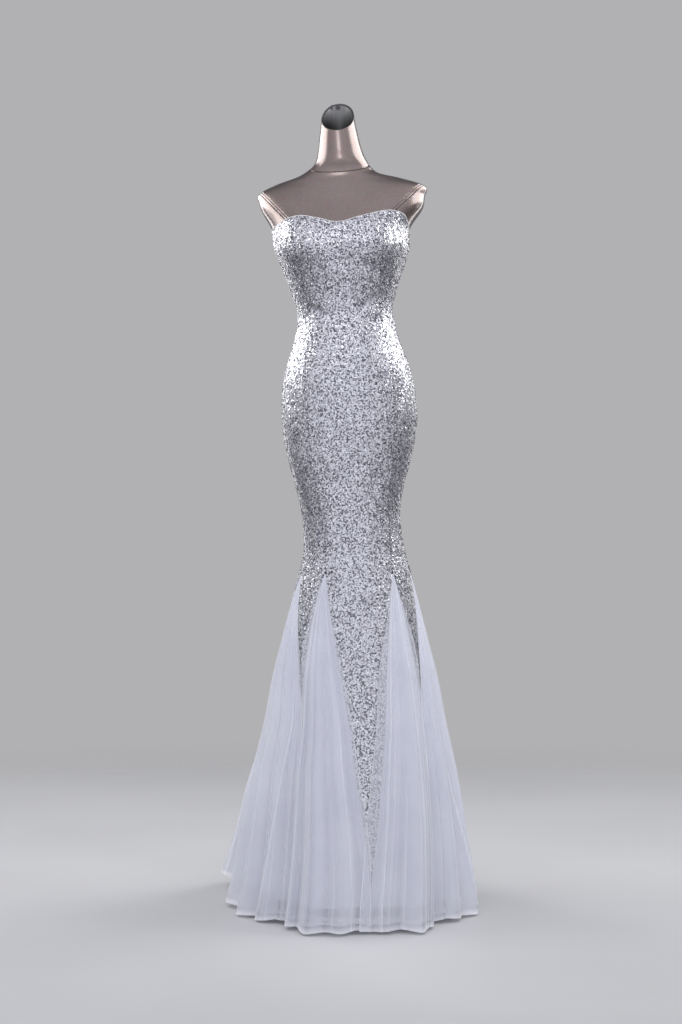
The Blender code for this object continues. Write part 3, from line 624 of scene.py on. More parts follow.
def link_mesh(name, points, faces, material):
    """A smooth object from points and faces."""
    data = bpy.data.meshes.new(name)
    data.from_pydata([tuple(point) for point in points], [], faces)
    data.validate()
    return link_piece(name, data, material, SHARP_DEG)


def numbered(grid):
    """The numbers of a grid's points, in rows and columns."""
    return np.arange(grid[..., 0].size).reshape(grid.shape[:2])


def grid_quads(numbers, flip=False):
    """Quads between the neighbours in a grid of point numbers."""
    corners = numbers[:-1, :-1], numbers[:-1, 1:], numbers[1:, 1:], numbers[1:, :-1]
    quads = np.stack(corners, axis=-1).reshape(-1, 4)
    return (quads[:, ::-1] if flip else quads).tolist()


def grid_normals(grid):
    """Normals of a grid of points, from its own slopes."""
    return unit(np.cross(np.gradient(grid, axis=1), np.gradient(grid, axis=0)))


def make_wall(name, outer, thickness, material):
    """A thin closed shell: a grid of points, the same grid set in, and its rim."""
    inner = outer - grid_normals(outer) * thickness
    numbers = numbered(outer)
    count = numbers.size
    faces = grid_quads(numbers) + grid_quads(numbers + count, flip=True)
    here = np.concatenate(
        [numbers[0], numbers[1:, -1], numbers[-1, -2::-1], numbers[-2:0:-1, 0]])
    there = np.roll(here, -1)
    faces += np.stack([there, here, count + here, count + there], axis=-1).tolist()
    return link_mesh(name, np.concatenate([outer, inner]).reshape(-1, 3), faces, material)


def closed_rings(name, rings, material, looped=False):
    """A closed surface through rings of points: flat ends, or last joined to first."""
    numbers = numbered(rings)
    faces = grid_quads(np.pad(numbers, ((0, int(looped)), (0, 1)), "wrap"))
    if not looped:
        faces += [numbers[0, ::-1].tolist(), numbers[-1].tolist()]
    return link_mesh(name, rings.reshape(-1, 3), faces, material)


def make_tube(name, line, radius, material, looped=False):
    """A round tube along a line of points."""
    if looped:
        ahead, behind = np.roll(line, -1, axis=0), np.roll(line, 1, axis=0)
    else:
        ahead, behind = np.vstack([line[1:], line[-1:]]), np.vstack([line[:1], line[:-1]])
    forward = unit(ahead - behind)
    side = unit(np.cross(forward, TUBE_UP))
    top = np.cross(side, forward)
    turns = circle(TUBE_SIDES)[:, None]
    ring = side[:, None] * np.cos(turns) - top[:, None] * np.sin(turns)
    return closed_rings(name, line[:, None] + ring * radius, material, looped)


def add_values(piece, name, values, domain="POINT"):
    """A named number on each point or face, for the material to read."""
    attribute = piece.data.attributes.new(name, "FLOAT", domain)
    attribute.data.foreach_set("value", np.asarray(values, np.float32).ravel())


def arc_lengths(points):
    """Distances along rows of points, from each row's first point."""
    steps = np.linalg.norm(np.diff(points, axis=-2), axis=-1)
    start = np.zeros(steps.shape[:-1] + (1,))
    return np.concatenate([start, np.cumsum(steps, axis=-1)], axis=-1)


def dress(piece, slot, *nodes, body=GOWN_BODY):
    """Let a piece ride on its body, in place of CAD nodes, which it hides; slot is not used.
    """
    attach(piece, body)
    if nodes:
        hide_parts(*nodes)
    return piece


# ---- materials ---------------------------------------------------------------
def feed(tree, socket, value):
    """Give a socket a value, or link it to another node's output."""
    if isinstance(value, bpy.types.NodeSocket):
        tree.links.new(value, socket)
    else:
        socket.default_value = value


def adjust(tree, node, **settings):
    """Set a node's inputs, named with _ for a space, and its own properties."""
    for name, value in settings.items():
        socket = node.inputs.get(name.replace("_", " "))
        if socket is None:
            setattr(node, name, value)
        else:
            feed(tree, socket, value)
    return node


def add_node(tree, kind, *values, **settings):
    """A shader node, adjusted, with its first inputs given in order."""
    node = adjust(tree, tree.nodes.new(f"ShaderNode{kind}"), **settings)
    for socket, value in zip(node.inputs, values):
        feed(tree, socket, value)
    return node


def new_material(name, colour, roughness, metallic=0.0):
    """A material with its shader, ready for more nodes."""
    material = bpy.data.materials.new(name)
    material.use_nodes = True
    material.diffuse_color = (*colour, 1)
    tree = material.node_tree
    shader = adjust(tree, tree.nodes["Principled BSDF"], Base_Color=(*colour, 1),
                    Roughness=roughness, Metallic=metallic)
    return material, tree, shader


def object_place(tree):
    """The object's own coordinates, which are metres in the row frame."""
    return add_node(tree, "TexCoord").outputs["Object"]


def attribute(tree, name):
    """A number that the mesh carries."""
    return add_node(tree, "Attribute", attribute_name=name).outputs["Fac"]


def noise(tree, place_socket, scale, detail=2.0):
    """A noise pattern on the object."""
    return add_node(
        tree, "TexNoise", Scale=scale, Detail=detail, Vector=place_socket).outputs["Fac"]


def cells(tree, place_socket, scale):
    """The outputs of a pattern of cells."""
    return add_node(tree, "TexVoronoi", Scale=scale, Vector=place_socket).outputs


def ramp(tree, factor, *stops):
    """Colours along a factor, from (position, colour) stops."""
    node = add_node(tree, "ValToRGB", factor)
    elements = node.color_ramp.elements
    while len(elements) < len(stops):
        elements.new(0.5)
    for element, (position, colour) in zip(elements, stops):
        element.position = position
        element.color = (*colour, 1)
    return node.outputs["Color"]


def mottled(tree, place_socket, scale, detail, dark, light, low=0.30):
    """A colour that wanders between two."""
    pattern = noise(tree, place_socket, scale, detail)
    return ramp(tree, pattern, (low, dark), (1 - low, light))


def map_range(tree, value, limits):
    """A value carried smoothly from one range, the first two limits, to another."""
    names = ("From_Min", "From_Max", "To_Min", "To_Max")
    return add_node(tree, "MapRange", interpolation_type="SMOOTHSTEP", Value=value,
                    **dict(zip(names, limits))).outputs["Result"]


def mixed_colour(tree, **settings):
    """Colour B over colour A."""
    return add_node(tree, "Mix", data_type="RGBA", **settings).outputs["Result"]


def bump(tree, height, strength, distance):
    """The normals that a height pattern gives."""
    return add_node(tree, "Bump", Height=height, Strength=strength,
                    Distance=distance).outputs["Normal"]


def sequin_material():
    """Silver foil, each sequin in a random tone whose dark end is painted dark reflection."""
    material, tree, shader = new_material("silver_sequins", (0.75, 0.75, 0.78), 0.34, 0.85)
    adjust(tree, shader, Base_Color=ramp(
        tree, attribute(tree, "tone"), (0.00, (0.05, 0.05, 0.06)), (0.25, (0.21, 0.21, 0.24)),
        (0.50, (0.52, 0.52, 0.56)), (1.00, (0.75, 0.75, 0.79))))
    return material


def net_material():
    """The stretch net that the sequins are sewn to."""
    material, tree, shader = new_material("sequin_net", (0.16, 0.16, 0.19), 0.75)
    where = object_place(tree)
    adjust(tree, shader, Sheen_Weight=0.2,
           Base_Color=mottled(tree, where, 300, 3.0, (0.06, 0.06, 0.08),
                              (0.24, 0.24, 0.28), 0.35),
           Normal=bump(tree, cells(tree, where, 700.0)["Distance"], 0.5, 0.0004))
    return material


def tulle_material(layer):
    """One layer of tulle, as clear as its folds leave it, denser where it lies double, with a
    painted highlight that turns it near white along fold crests, hem and edges.
    """
    material, tree, shader = new_material(f"tulle_{layer.name}", (0.83, 0.84, 0.90), 0.85)
    where = object_place(tree)
    colour = mottled(tree, where, 9, 2.0, (0.77, 0.78, 0.86), (0.83, 0.84, 0.91))
    # the near-white colour mixed in here is a painted highlight along fold crests, hem and
    # edges
    adjust(tree, shader, Alpha=attribute(tree, "cover"), Sheen_Weight=0.5,
           Sheen_Roughness=0.35, Specular_IOR_Level=0.2,
           Base_Color=mixed_colour(tree, Factor=attribute(tree, "double_and_highlight"), A=colour,
                                   B=(0.97, 0.97, 1.0, 1)),
           Normal=bump(tree, cells(tree, where, 650.0)["Distance"], 0.35, 0.0004))
    return material


def form_material():
    """Champagne metallic paint with fine flakes."""
    material, tree, shader = new_material("champagne_paint", (0.225, 0.165, 0.155), 0.29, 0.80)
    where = object_place(tree)
    flakes = cells(tree, where, 1100.0)
    cloudy = mottled(tree, where, 14, 3.0, (0.175, 0.134, 0.124), (0.20, 0.154, 0.144))
    adjust(tree, shader, Coat_Weight=0.8, Coat_Roughness=0.14,
           Base_Color=mixed_colour(tree, blend_type="SOFT_LIGHT", Factor=0.35, A=cloudy,
                                   B=flakes["Color"]),
           Normal=bump(tree, flakes["Distance"], 0.08, 0.0003))
    return material


def plain_metal(name, dark, light, roughness, scale):
    """A metal whose colour and polish vary a little."""
    material, tree, shader = new_material(name, light, roughness, 1.0)
    where = object_place(tree)
    adjust(tree, shader, Base_Color=mottled(tree, where, scale, 3.0, dark, light, 0.35),
           Normal=bump(tree, noise(tree, where, scale * 6), 0.10, 0.0002))
    return material


def dark_material(name, dark, light, roughness):
    """Uneven dark moulded plastic, with painted shade that deepens towards the bottom, down
    inside the neck.
    """
    material, tree, shader = new_material(name, light, roughness)
    where = object_place(tree)
    height = add_node(tree, "SeparateXYZ", where).outputs["Z"]
    # painted shade: darker further down inside the neck
    depth = map_range(tree, height, (PAINTED_SHADE_FROM, PAINTED_SHADE_TO, -0.1, 0.62))
    tall = add_node(tree, "Mapping", where, Scale=(1.0, 1.0, 0.12)).outputs["Vector"]
    tone = add_node(tree, "Math", noise(tree, tall, 70), 0.55, depth, operation="MULTIPLY_ADD")
    adjust(tree, shader,
           Base_Color=ramp(tree, tone.outputs["Value"], (0.10, dark), (0.85, light)),
           Normal=bump(tree, noise(tree, where, 400), 0.15, 0.0003))
    return material


# ---- sequinned panels --------------------------------------------------------
def panel_grid(index):
    """Points on a panel's outer surface, from its point up to the neckline."""
    tip = PANELS[index].tip_z + TIP_START
    low_rows = np.linspace(tip, BODICE_Z, int((BODICE_Z - tip) / CLOTH_STEP))
    right, left = panel_edges(index, low_rows)
    widest = (left - right).max() * read(SECTIONS, WIDEST_Z, "half_width")
    columns = int(widest / CLOTH_STEP) + 2
    share = np.linspace(0, 1, columns)
    low_angles = right[:, None] + (left - right)[:, None] * share
    low_heights = np.repeat(low_rows[:, None], columns, axis=1)
    top = np.linspace(0, 1, BODICE_ROWS + 1)[1:, None]
    high_angles = low_angles[-1:]
    for _ in range(EDGE_PASSES):
        high_heights = BODICE_Z + (neckline(high_angles) - BODICE_Z) * top
        right_edge = seam_angle(index, high_heights[:, :1])
        left_edge = seam_angle(index + 1, high_heights[:, -1:])
        high_angles = right_edge + (left_edge - right_edge) * share
    heights = np.concatenate([low_heights, high_heights])
    angles = np.concatenate([low_angles, high_angles])
    reach = arc_lengths(on_body(heights, angles))
    gap = SEAM_GAP / 2 / np.maximum(reach[:, -1:], LEAST_WIDTH)
    inner_share = gap + (1 - 2 * gap) * share
    angles = angles[:, :1] + (angles[:, -1:] - angles[:, :1]) * inner_share
    edge = np.minimum(reach, reach[:, -1:] - reach)
    return panel_surface(index, heights, angles, edge)


def sequin_places(index, random):
    """Heights, angles and seam distances of a panel's sequins, row by row."""
    places = []
    rows = np.arange(PANELS[index].tip_z + SEQUIN_START, SEQUIN_END_Z, ROW_PITCH)
    for number, z in enumerate(rows):
        if z < BODICE_Z:
            right, left = panel_edges(index, z)
        else:
            right, left = seam_angle(index, z), seam_angle(index + 1, z)
        span = np.linspace(right, left, ROW_SAMPLES)
        reach = arc_lengths(on_body(np.full(ROW_SAMPLES, z), span))
        width = reach[-1] - 2 * SEQUIN_EDGE
        count = int(width / SEQUIN_PITCH)
        if count < 1:
            continue
        shift = 0.25 if number % 2 else 0.75
        along = SEQUIN_EDGE + (np.arange(count) + shift) * width / count
        along = along + random.normal(0, SEQUIN_SHAKE * SEQUIN_PITCH / 2, count)
        along = np.clip(along, SEQUIN_EDGE, reach[-1] - SEQUIN_EDGE)
        angle = np.interp(along, reach, span)
        height = z + random.normal(0, SEQUIN_SHAKE * SEQUIN_PITCH / 2, count)
        kept = random.random(count) > SEQUIN_LOOSE
        kept &= height < neckline(angle) - SEQUIN_TOP_EDGE
        edge = np.minimum(along, reach[-1] - along)
        places.append(np.stack([height, angle, edge])[:, kept])
    return np.concatenate(places, axis=1)


def make_sequins(index, material):
    """A panel's sequins as one joined mesh of flat discs, tilted at random."""
    random = np.random.default_rng(SEED + index)
    heights, angles, edges = sequin_places(index, random)
    count = len(heights)
    centres = panel_surface(index, heights, angles, edges)
    beside = panel_surface(index, heights, angles + SLOPE_TURN, edges) - centres
    above = panel_surface(index, heights + SLOPE_RISE, angles, edges) - centres
    normal = unit(np.cross(beside, above))
    beside = unit(beside)
    above = np.cross(normal, beside)
    lean = random.normal(0, SEQUIN_TILT, (2, count, 1))
    normal = unit(normal + beside * lean[0] + above * lean[1])
    beside = unit(np.cross(above, normal))
    above = np.cross(normal, beside)
    lift = SEQUIN_LIFT + SEQUIN_LAYER * random.random((count, 1))
    centres = centres + normal * lift
    turns = circle(SEQUIN_SIDES) + random.random((count, 1)) * math.pi
    radius = SEQUIN_RADIUS * (SIZE_FROM + SIZE_SPREAD * random.random((count, 1)))
    rim_x = (radius * np.cos(turns))[..., None]
    rim_y = (radius * np.sin(turns))[..., None]
    points = centres[:, None] + beside[:, None] * rim_x + above[:, None] * rim_y
    # each sequin's random tone; the dark end of the ramp is painted dark reflection
    tones = np.floor(random.beta(*TONE_SHAPE, count) * TONE_STEPS)
    tones = np.clip(tones, 0, TONE_STEPS - 1)
    return disc_mesh(f"sequins_{PANELS[index].name}", points, tones, turns, material)


def disc_mesh(name, points, tones, turns, material):
    """Separate flat discs in one mesh, with a tone each and a map by tone."""
    count, sides = points.shape[:2]
    data = bpy.data.meshes.new(name)
    data.vertices.add(count * sides)
    data.vertices.foreach_set("co", points.astype(np.float32).ravel())
    data.loops.add(count * sides)
    data.loops.foreach_set("vertex_index", np.arange(count * sides, dtype=np.int32))
    data.polygons.add(count)
    data.polygons.foreach_set("loop_start", np.arange(0, count * sides, sides, dtype=np.int32))
    cell = 1 / TONE_CELLS
    corner = np.stack([tones % TONE_CELLS, tones // TONE_CELLS], axis=-1) * cell + cell / 2
    rim = np.stack([np.cos(turns), np.sin(turns)], axis=-1) * cell * TONE_REACH
    layer = data.uv_layers.new(name="OFBake")
    layer.data.foreach_set("uv", (corner[:, None] + rim).astype(np.float32).ravel())
    data.update(calc_edges=True)
    piece = link_piece(name, data, material)
    add_values(piece, "tone", (tones + 0.5) / TONE_STEPS, "FACE")
    return piece


def make_panels():
    """All seven sequinned panels."""
    net, foil = net_material(), sequin_material()
    for index, panel in enumerate(PANELS):
        grid = panel_grid(index)
        cloth = make_wall(f"cloth_{panel.name}", grid, NET_WALL, net)
        dress(cloth, "sequin", panel.name)
        sequins = dress(make_sequins(index, foil), "sequin")


def make_binding():
    """The narrow pale cord that finishes the neckline."""
    material, tree, shader = new_material("neckline_cord", (0.70, 0.68, 0.68), 0.6)
    adjust(tree, shader, Base_Color=mottled(
        tree, object_place(tree), 500, 2.0, (0.52, 0.51, 0.53), (0.86, 0.84, 0.84), 0.35))
    angles = circle(CORD_POINTS, -math.pi)
    heights = neckline(angles) + CORD_RISE
    line = on_body(heights, angles) - outward(heights, angles) * CORD_SINK
    dress(make_tube("neckline_cord", line, CORD_RADIUS, material, looped=True), "sequin")


# ---- tulle godets ------------------------------------------------------------
def fold_profile(index, godet, across):
    """The folds' distance and hem lift across a godet."""
    start, end = PANELS[index - 1].tip_out, PANELS[index].tip_out
    places, out, lift = np.array([(0, start, 0), *godet.folds, (1, end, 0)], float).T
    low = np.clip(np.searchsorted(places, across) - 1, 0, len(places) - 2)
    blend = smooth_step(0, 1, (across - places[low]) / (places[low + 1] - places[low]))
    return [row[low] + (row[low + 1] - row[low]) * blend for row in (out, lift)]


def fine_folds(godet, across, down):
    """Each fine fold's width, depth and start, and how far across it the points lie."""
    for middle, width, depth, start, lean in godet.fine_folds:
        yield width, depth, start, across - middle - lean * (1 - down)


def fine_fold_height(godet, across, down):
    """The fine folds' height, which grows from where each one begins."""
    height = np.zeros(across.shape)
    for width, depth, start, beside in fine_folds(godet, across, down):
        growth = np.clip((down - start) / (1 - start), 0, 1) ** FINE_GROWTH
        height += depth * growth * np.exp(-(beside / width) ** 2)
    return height


def fold_highlight_lines(godet, across, down, width):
    """Thin painted highlight lines along a godet's fold crests, where its tulle also lies
    double.
    """
    lines = np.zeros(across.shape)
    for _, depth, start, beside in fine_folds(godet, across, down):
        if depth > 0:
            strength = depth / LINE_DEPTH * smooth_step(start, start + LINE_FADE, down)
            lines += strength * np.exp(-(beside * width[:, None] / LINE_WIDTH) ** 2)
    return lines


def streaks(random, across, octaves=THREADS):
    """Uneven threads of lighter and denser cloth that run down a godet."""
    total = np.zeros(across.shape)
    for octave in octaves:
        knots = random.normal(0, 1, octave + 2)
        thread = np.interp(across * octave, np.arange(octave + 2), knots)
        total += thread / octave ** THREAD_POWER
    return total


def godet_grid(index, godet, layer):
    """A tulle layer's points, hem first, how dense it looks, and where it lies double and
    carries a painted highlight.
    """
    random = np.random.default_rng(GODET_SEED + index)
    hem = HEM_Z + layer.raise_hem
    rows = hem + (GODET_TOP - hem) * np.linspace(0, 1, GODET_ROWS) ** ROWS_POWER
    rows = np.insert(rows, 1, hem + HEM_LINE)
    right, left = godet_edges(index, rows)
    radius = read(SECTIONS, rows, "half_width")
    down = 1 - rows / APEX_Z
    spread = smooth_step(0.0, LAP_FADE, down) * layer.reach / radius
    lap_right, lap_left = (lap * spread for lap in godet.laps)
    for lap, neighbour in ((lap_right, (index - 1) % len(PANELS)), (lap_left, index)):
        if neighbour != FRONT_PANEL or lap is lap_left:
            edges = panel_edges(neighbour, rows)
            np.minimum(lap, (edges[1] - edges[0]) * LAP_SHARE, out=lap)
    gap = SEAM_GAP / radius
    start, end = right + gap - lap_right, left - gap + lap_left
    width = arc_lengths(on_body(HEM_Z, np.linspace(start[0], end[0], HEM_SAMPLES)))[-1]
    share = np.linspace(0, 1, int(width / layer.step))[None, :]
    angle = start[:, None] + (end - start)[:, None] * share
    across = (angle - right[:, None]) / (left - right)[:, None]
    inside = np.clip(np.minimum(across, 1 - across) / EDGE_SHARE, 0, 1)
    across = np.clip(across, 0, 1)
    across = across + layer.slip * np.sin(across * math.pi)
    z = np.broadcast_to(rows[:, None], angle.shape)
    down = np.broadcast_to(down[:, None], angle.shape)
    out, lift = fold_profile(index, godet, across)
    middle = (PANELS[index - 1].tip_out + PANELS[index].tip_out) / 2
    calm = middle + (out - middle) * layer.swing
    out = out + (calm - out) * inside
    height = out * fold_size(z) - layer.inset * down * inside
    fine = fine_fold_height(godet, across, down) * layer.fine
    waves = FLUTTER * np.exp(-(z - HEM_Z) / FLUTTER_HEIGHT)
    waves = waves * streaks(random, across, FLUTTER_WAVES)
    rise = layer.rise * (1 - inside) * smooth_step(*RISE_FADE, down)
    height = height + (fine + waves) * inside + rise
    points = on_body(z, angle) + level_outward(z, angle) * height[..., None]
    wander = HEM_WANDER * np.abs(streaks(random, across, HEM_WAVES))
    points[..., 2] += lift * down ** LIFT_POWER + wander * down ** WANDER_POWER
    run = np.linalg.norm(np.gradient(points, axis=1), axis=2)
    slope = np.abs(np.gradient(height, axis=1)) / np.maximum(run, LEAST_RUN)
    dense = 1 + SLOPE_COVER * slope + layer.streak * streaks(random, across)
    dense = layer.cover * dense + TOP_COVER * (1 - smooth_step(0.0, TOP_FADE, down))
    # painted highlight: fold crests, the two hem rows and the side edges turn near white, and
    # a little denser
    double_and_highlight = np.zeros(dense.shape)
    if layer.reach:
        double_and_highlight = fold_highlight_lines(godet, across, down, (left - right) * radius)
        double_and_highlight[:2] += HEM_HIGHLIGHT
        double_and_highlight[:, 0] += EDGE_HIGHLIGHT
        double_and_highlight[:, -1] += EDGE_HIGHLIGHT
    double_and_highlight = np.clip(double_and_highlight, 0.0, 1.0)
    return points, np.clip(dense + EDGE_COVER * double_and_highlight, *COVER_LIMITS), double_and_highlight


def make_godets():
    """The three tulle layers of each godet."""
    for layer in LAYERS:
        material = tulle_material(layer)
        for index, (name, godet) in enumerate(GODETS.items()):
            grid, cover, double_and_highlight = godet_grid(index, godet, layer)
            piece = make_wall(f"tulle_{layer.name}_{name}", grid, layer.wall, material)
            add_values(piece, "cover", [cover, cover])
            add_values(piece, "double_and_highlight", [double_and_highlight, double_and_highlight])
            dress(piece, "tulle", *([name] if layer.name == "outer" else []))


# ---- dress form --------------------------------------------------------------
def form_surface(z, angle):
    """The form's surface: under the gown it is set in by the cloth."""
    inset = (SEQUIN_WALL + FORM_GAP) * (1 - smooth_step(BARE_FROM, BARE_TO, z))
    inset = inset - np.minimum(creased(z, angle), 0.0)
    return on_body(z, angle) - outward(z, angle) * np.asarray(inset)[..., None]


def slanted_height(angle, middle, slope, inset=0.0):
    """Where the neck's surface meets a plane that rises towards the back."""
    z = np.full_like(angle, middle)
    for _ in range(SLANT_PASSES):
        z = middle + slope * neck_point(z, angle, inset)[..., 1]
    return z


def neck_point(z, angle, inset):
    """Points of the neck's sections, set in by inset."""
    points = section_point(z, angle)
    return points - unit(points * (1, 1, 0)) * inset


def arm_plane(side):
    """A point and the outward normal of the slanted cut on one side."""
    up = Vector((side * math.sin(ARM_CUT_TILT), 0, math.cos(ARM_CUT_TILT)))
    top = Vector((side * ARM_CUT_TOP.x, ARM_CUT_TOP.y, ARM_CUT_TOP.z))
    corner, above, behind = (
        Vector(place(point, ARM_CUT_TOP.z))
        for point in (top, top + up, top + Vector((0, 1, 0))))
    normal = (above - corner).cross(behind - corner).normalized()
    return corner, normal if normal.x * side > 0 else -normal


def torso_rings():
    """Rings of the torso, close together over the shoulders."""
    angles = circle(FORM_COLUMNS, -math.pi)
    levels = np.concatenate([
        np.linspace(TORSO_BOTTOM, BODICE_Z, LOW_RINGS)[:-1],
        np.linspace(BODICE_Z, BARE_TO, BUST_RINGS)[:-1],
        np.linspace(BARE_TO, SHOULDER_TOP, SHOULDER_RINGS),
    ])
    rings = [form_surface(np.full_like(angles, z), angles) for z in levels]
    root = slanted_height(angles, NECK_BASE_Z, NECK_BASE_SLOPE)
    for share in np.linspace(0, 1, ROOT_RINGS)[1:]:
        rings.append(on_body(SHOULDER_TOP + (root - SHOULDER_TOP) * share, angles))
    lip = rings[-1].copy()
    middle = lip.mean(axis=0)
    rings[-1] = lip + unit(middle - lip) * NECK_GROOVE
    return np.array(rings)


def cut_loops(mesh, point, normal, offsets):
    """Add edge loops where planes at some offsets along normal meet the mesh."""
    for offset in offsets:
        parts = mesh.verts[:] + mesh.edges[:] + mesh.faces[:]
        bmesh.ops.bisect_plane(mesh, geom=parts, dist=1e-6, plane_no=normal,
                               plane_co=point + normal * offset)


def make_torso(material):
    """The torso with its two arm caps, parted by grooves along the arm roots."""
    whole = closed_rings("form_torso_rings", torso_rings(), material)
    mesh = bmesh.new()
    mesh.from_mesh(whole.data)
    bpy.data.objects.remove(whole, do_unlink=True)
    planes = {"r": arm_plane(-1), "l": arm_plane(1)}
    for point, normal in planes.values():
        cut_loops(mesh, point, normal, (
            -ARM_RING - GROOVE_REACH, -ARM_RING, -ARM_RING + GROOVE_REACH,
            -GROOVE_REACH, 0.0, GROOVE_REACH))
    cut_loops(mesh, Vector((0, 0, ARM_CUT_BOTTOM)), Vector((0, 0, 1)), (0.0,))
    mesh.normal_update()
    for vert in mesh.verts:
        if vert.co.z > ARM_CUT_BOTTOM + NEAR and any(
                abs((vert.co - point).dot(normal) + ARM_RING) < ON_PLANE
                for point, normal in planes.values()):
            vert.co = vert.co - vert.normal * GROOVE_DEPTH
    gone = []
    for suffix, (point, normal) in planes.items():
        faces = [
            face for face in mesh.faces
            if (face.calc_center_median() - point).dot(normal) > 0
            and face.calc_center_median().z > ARM_CUT_BOTTOM
        ]
        gone += faces
        cap = take_faces(faces)
        close_rims(cap, point, normal)
        bmesh.ops.translate(cap, vec=normal * ARM_GAP, verts=cap.verts)
        dress(link_bmesh(f"form_arm_shell_{suffix}", cap, material), "form",
              f"form_arm_cap_{suffix}")
    bmesh.ops.delete(mesh, geom=gone, context="FACES")
    for point, normal in planes.values():
        close_rims(mesh, point, normal)
    dress(link_bmesh("form_torso_shell", mesh, material), "form", "form_torso")


def take_faces(faces):
    """A new mesh that holds copies of some faces."""
    other = bmesh.new()
    made = {}
    for face in faces:
        for vert in face.verts:
            if vert not in made:
                made[vert] = other.verts.new(vert.co)
        other.faces.new([made[vert] for vert in face.verts])
    other.normal_update()
    return other


def close_rims(mesh, point, normal):
    """Round one arm cut's open rim inwards, and close it with its two flat faces."""
    rim = [edge for edge in mesh.edges if edge.is_boundary
           and all((vert.co - point).dot(normal) > -NEAR for vert in edge.verts)]
    corners = {
        vert for edge in rim for vert in edge.verts
        if abs(vert.co.z - ARM_CUT_BOTTOM) < ON_PLANE
        and abs((vert.co - point).dot(normal)) < NEAR
    }
    loop = walk_loop(rim, min(corners, key=lambda vert: vert.co.y))
    other = next(i for i, vert in enumerate(loop) if i and vert in corners)
    for vert in loop:
        vert.co = vert.co - vert.normal * GROOVE_DEPTH
    faces = [mesh.faces.new(loop[:other + 1]), mesh.faces.new(loop[other:] + loop[:1])]
    bmesh.ops.triangulate(mesh, faces=faces)


def walk_loop(edges, start):
    """The points of a closed loop of edges, in order."""
    loop, edge = [start], next(edge for edge in edges if start in edge.verts)
    left = set(edges)
    while True:
        left.discard(edge)
        vert = edge.other_vert(loop[-1])
        if vert == start:
            return loop
        loop.append(vert)
        edge = next(edge for edge in left if vert in edge.verts)


def link_bmesh(name, mesh, material):
    """An object from a bmesh."""
    bmesh.ops.recalc_face_normals(mesh, faces=mesh.faces)
    data = bpy.data.meshes.new(name)
    mesh.to_mesh(data)
    mesh.free()
    return link_piece(name, data, material, FORM_SHARP_DEG)


def make_neck(paint, inside, edge):
    """The hollow neck, with its slanted mouth, a rounded lip and a dark inside with painted
    shade.
    """
    angles = circle(NECK_COLUMNS, -math.pi)
    base = slanted_height(angles, NECK_BASE_Z + SEAM_GAP, NECK_BASE_SLOPE)
    top = slanted_height(angles, MOUTH_Z, MOUTH_SLOPE) - NECK_LIP
    rings = []
    for step in np.concatenate([[0, NECK_FOOT], np.linspace(*NECK_RINGS)]):
        rings.append((base + (top - base) * step, NECK_GROOVE if step == 0 else 0.0))
    for turn in np.radians(np.arange(0, 181, LIP_STEP_DEG)):
        inset = NECK_LIP * (1 - math.cos(turn))
        level = MOUTH_Z - NECK_LIP + NECK_LIP * math.sin(turn)
        rings.append((slanted_height(angles, level, MOUTH_SLOPE, inset), inset))
    first_inside = (len(rings) - 1) * NECK_COLUMNS
    rim = slanted_height(angles, MOUTH_Z - LIP_DROP, MOUTH_SLOPE, NECK_WALL)
    for share in np.linspace(0, 1, INSIDE_RINGS):
        rings.append((rim + (NECK_FLOOR_Z - rim) * share, NECK_WALL))
    rings = np.array([place(neck_point(z, angles, inset)) for z, inset in rings])
    piece = closed_rings("form_neck_shell", rings, paint)
    piece.data.materials.append(inside)
    piece.data.materials.append(edge)
    for number, face in enumerate(piece.data.polygons):
        face.material_index = int(number >= first_inside) + int(
            first_inside <= number < first_inside + NECK_COLUMNS)
    dress(piece, "form", "form_neck")


def make_slots(material):
    """Two slots high in the neck's inner back, which the mount locks into, as thin near-black
    patches: painted shade where the real slots are openings.
    """
    up = Vector((0, 0, 1))
    for name, (angle_deg, wide, tall) in SLOTS.items():
        z, angle = np.array(SLOT_Z), np.array(math.radians(angle_deg))
        middle = Vector(place(neck_point(z, angle, NECK_WALL + SLOT_LIFT)))
        inward = -Vector(level_outward(z, angle))
        side = up.cross(inward)
        rings = [[
            middle + side * math.cos(turn) * wide + up * math.sin(turn) * tall + inward * depth
            for turn in circle(SLOT_SIDES)] for depth in (0.0, SLOT_DEPTH)]
        dress(closed_rings(f"neck_{name}", np.array(rings), material), "form")


# ---- zip ---------------------------------------------------------------------
def zip_frame():
    """The cloth's point and directions at the slider: out, up and across."""
    seat = Vector(on_body(SLIDER_Z, math.pi))
    out = Vector(outward(SLIDER_Z, math.pi))
    across = Vector((0, 0, 1)).cross(out).normalized()
    return seat, out, out.cross(across).normalized(), across


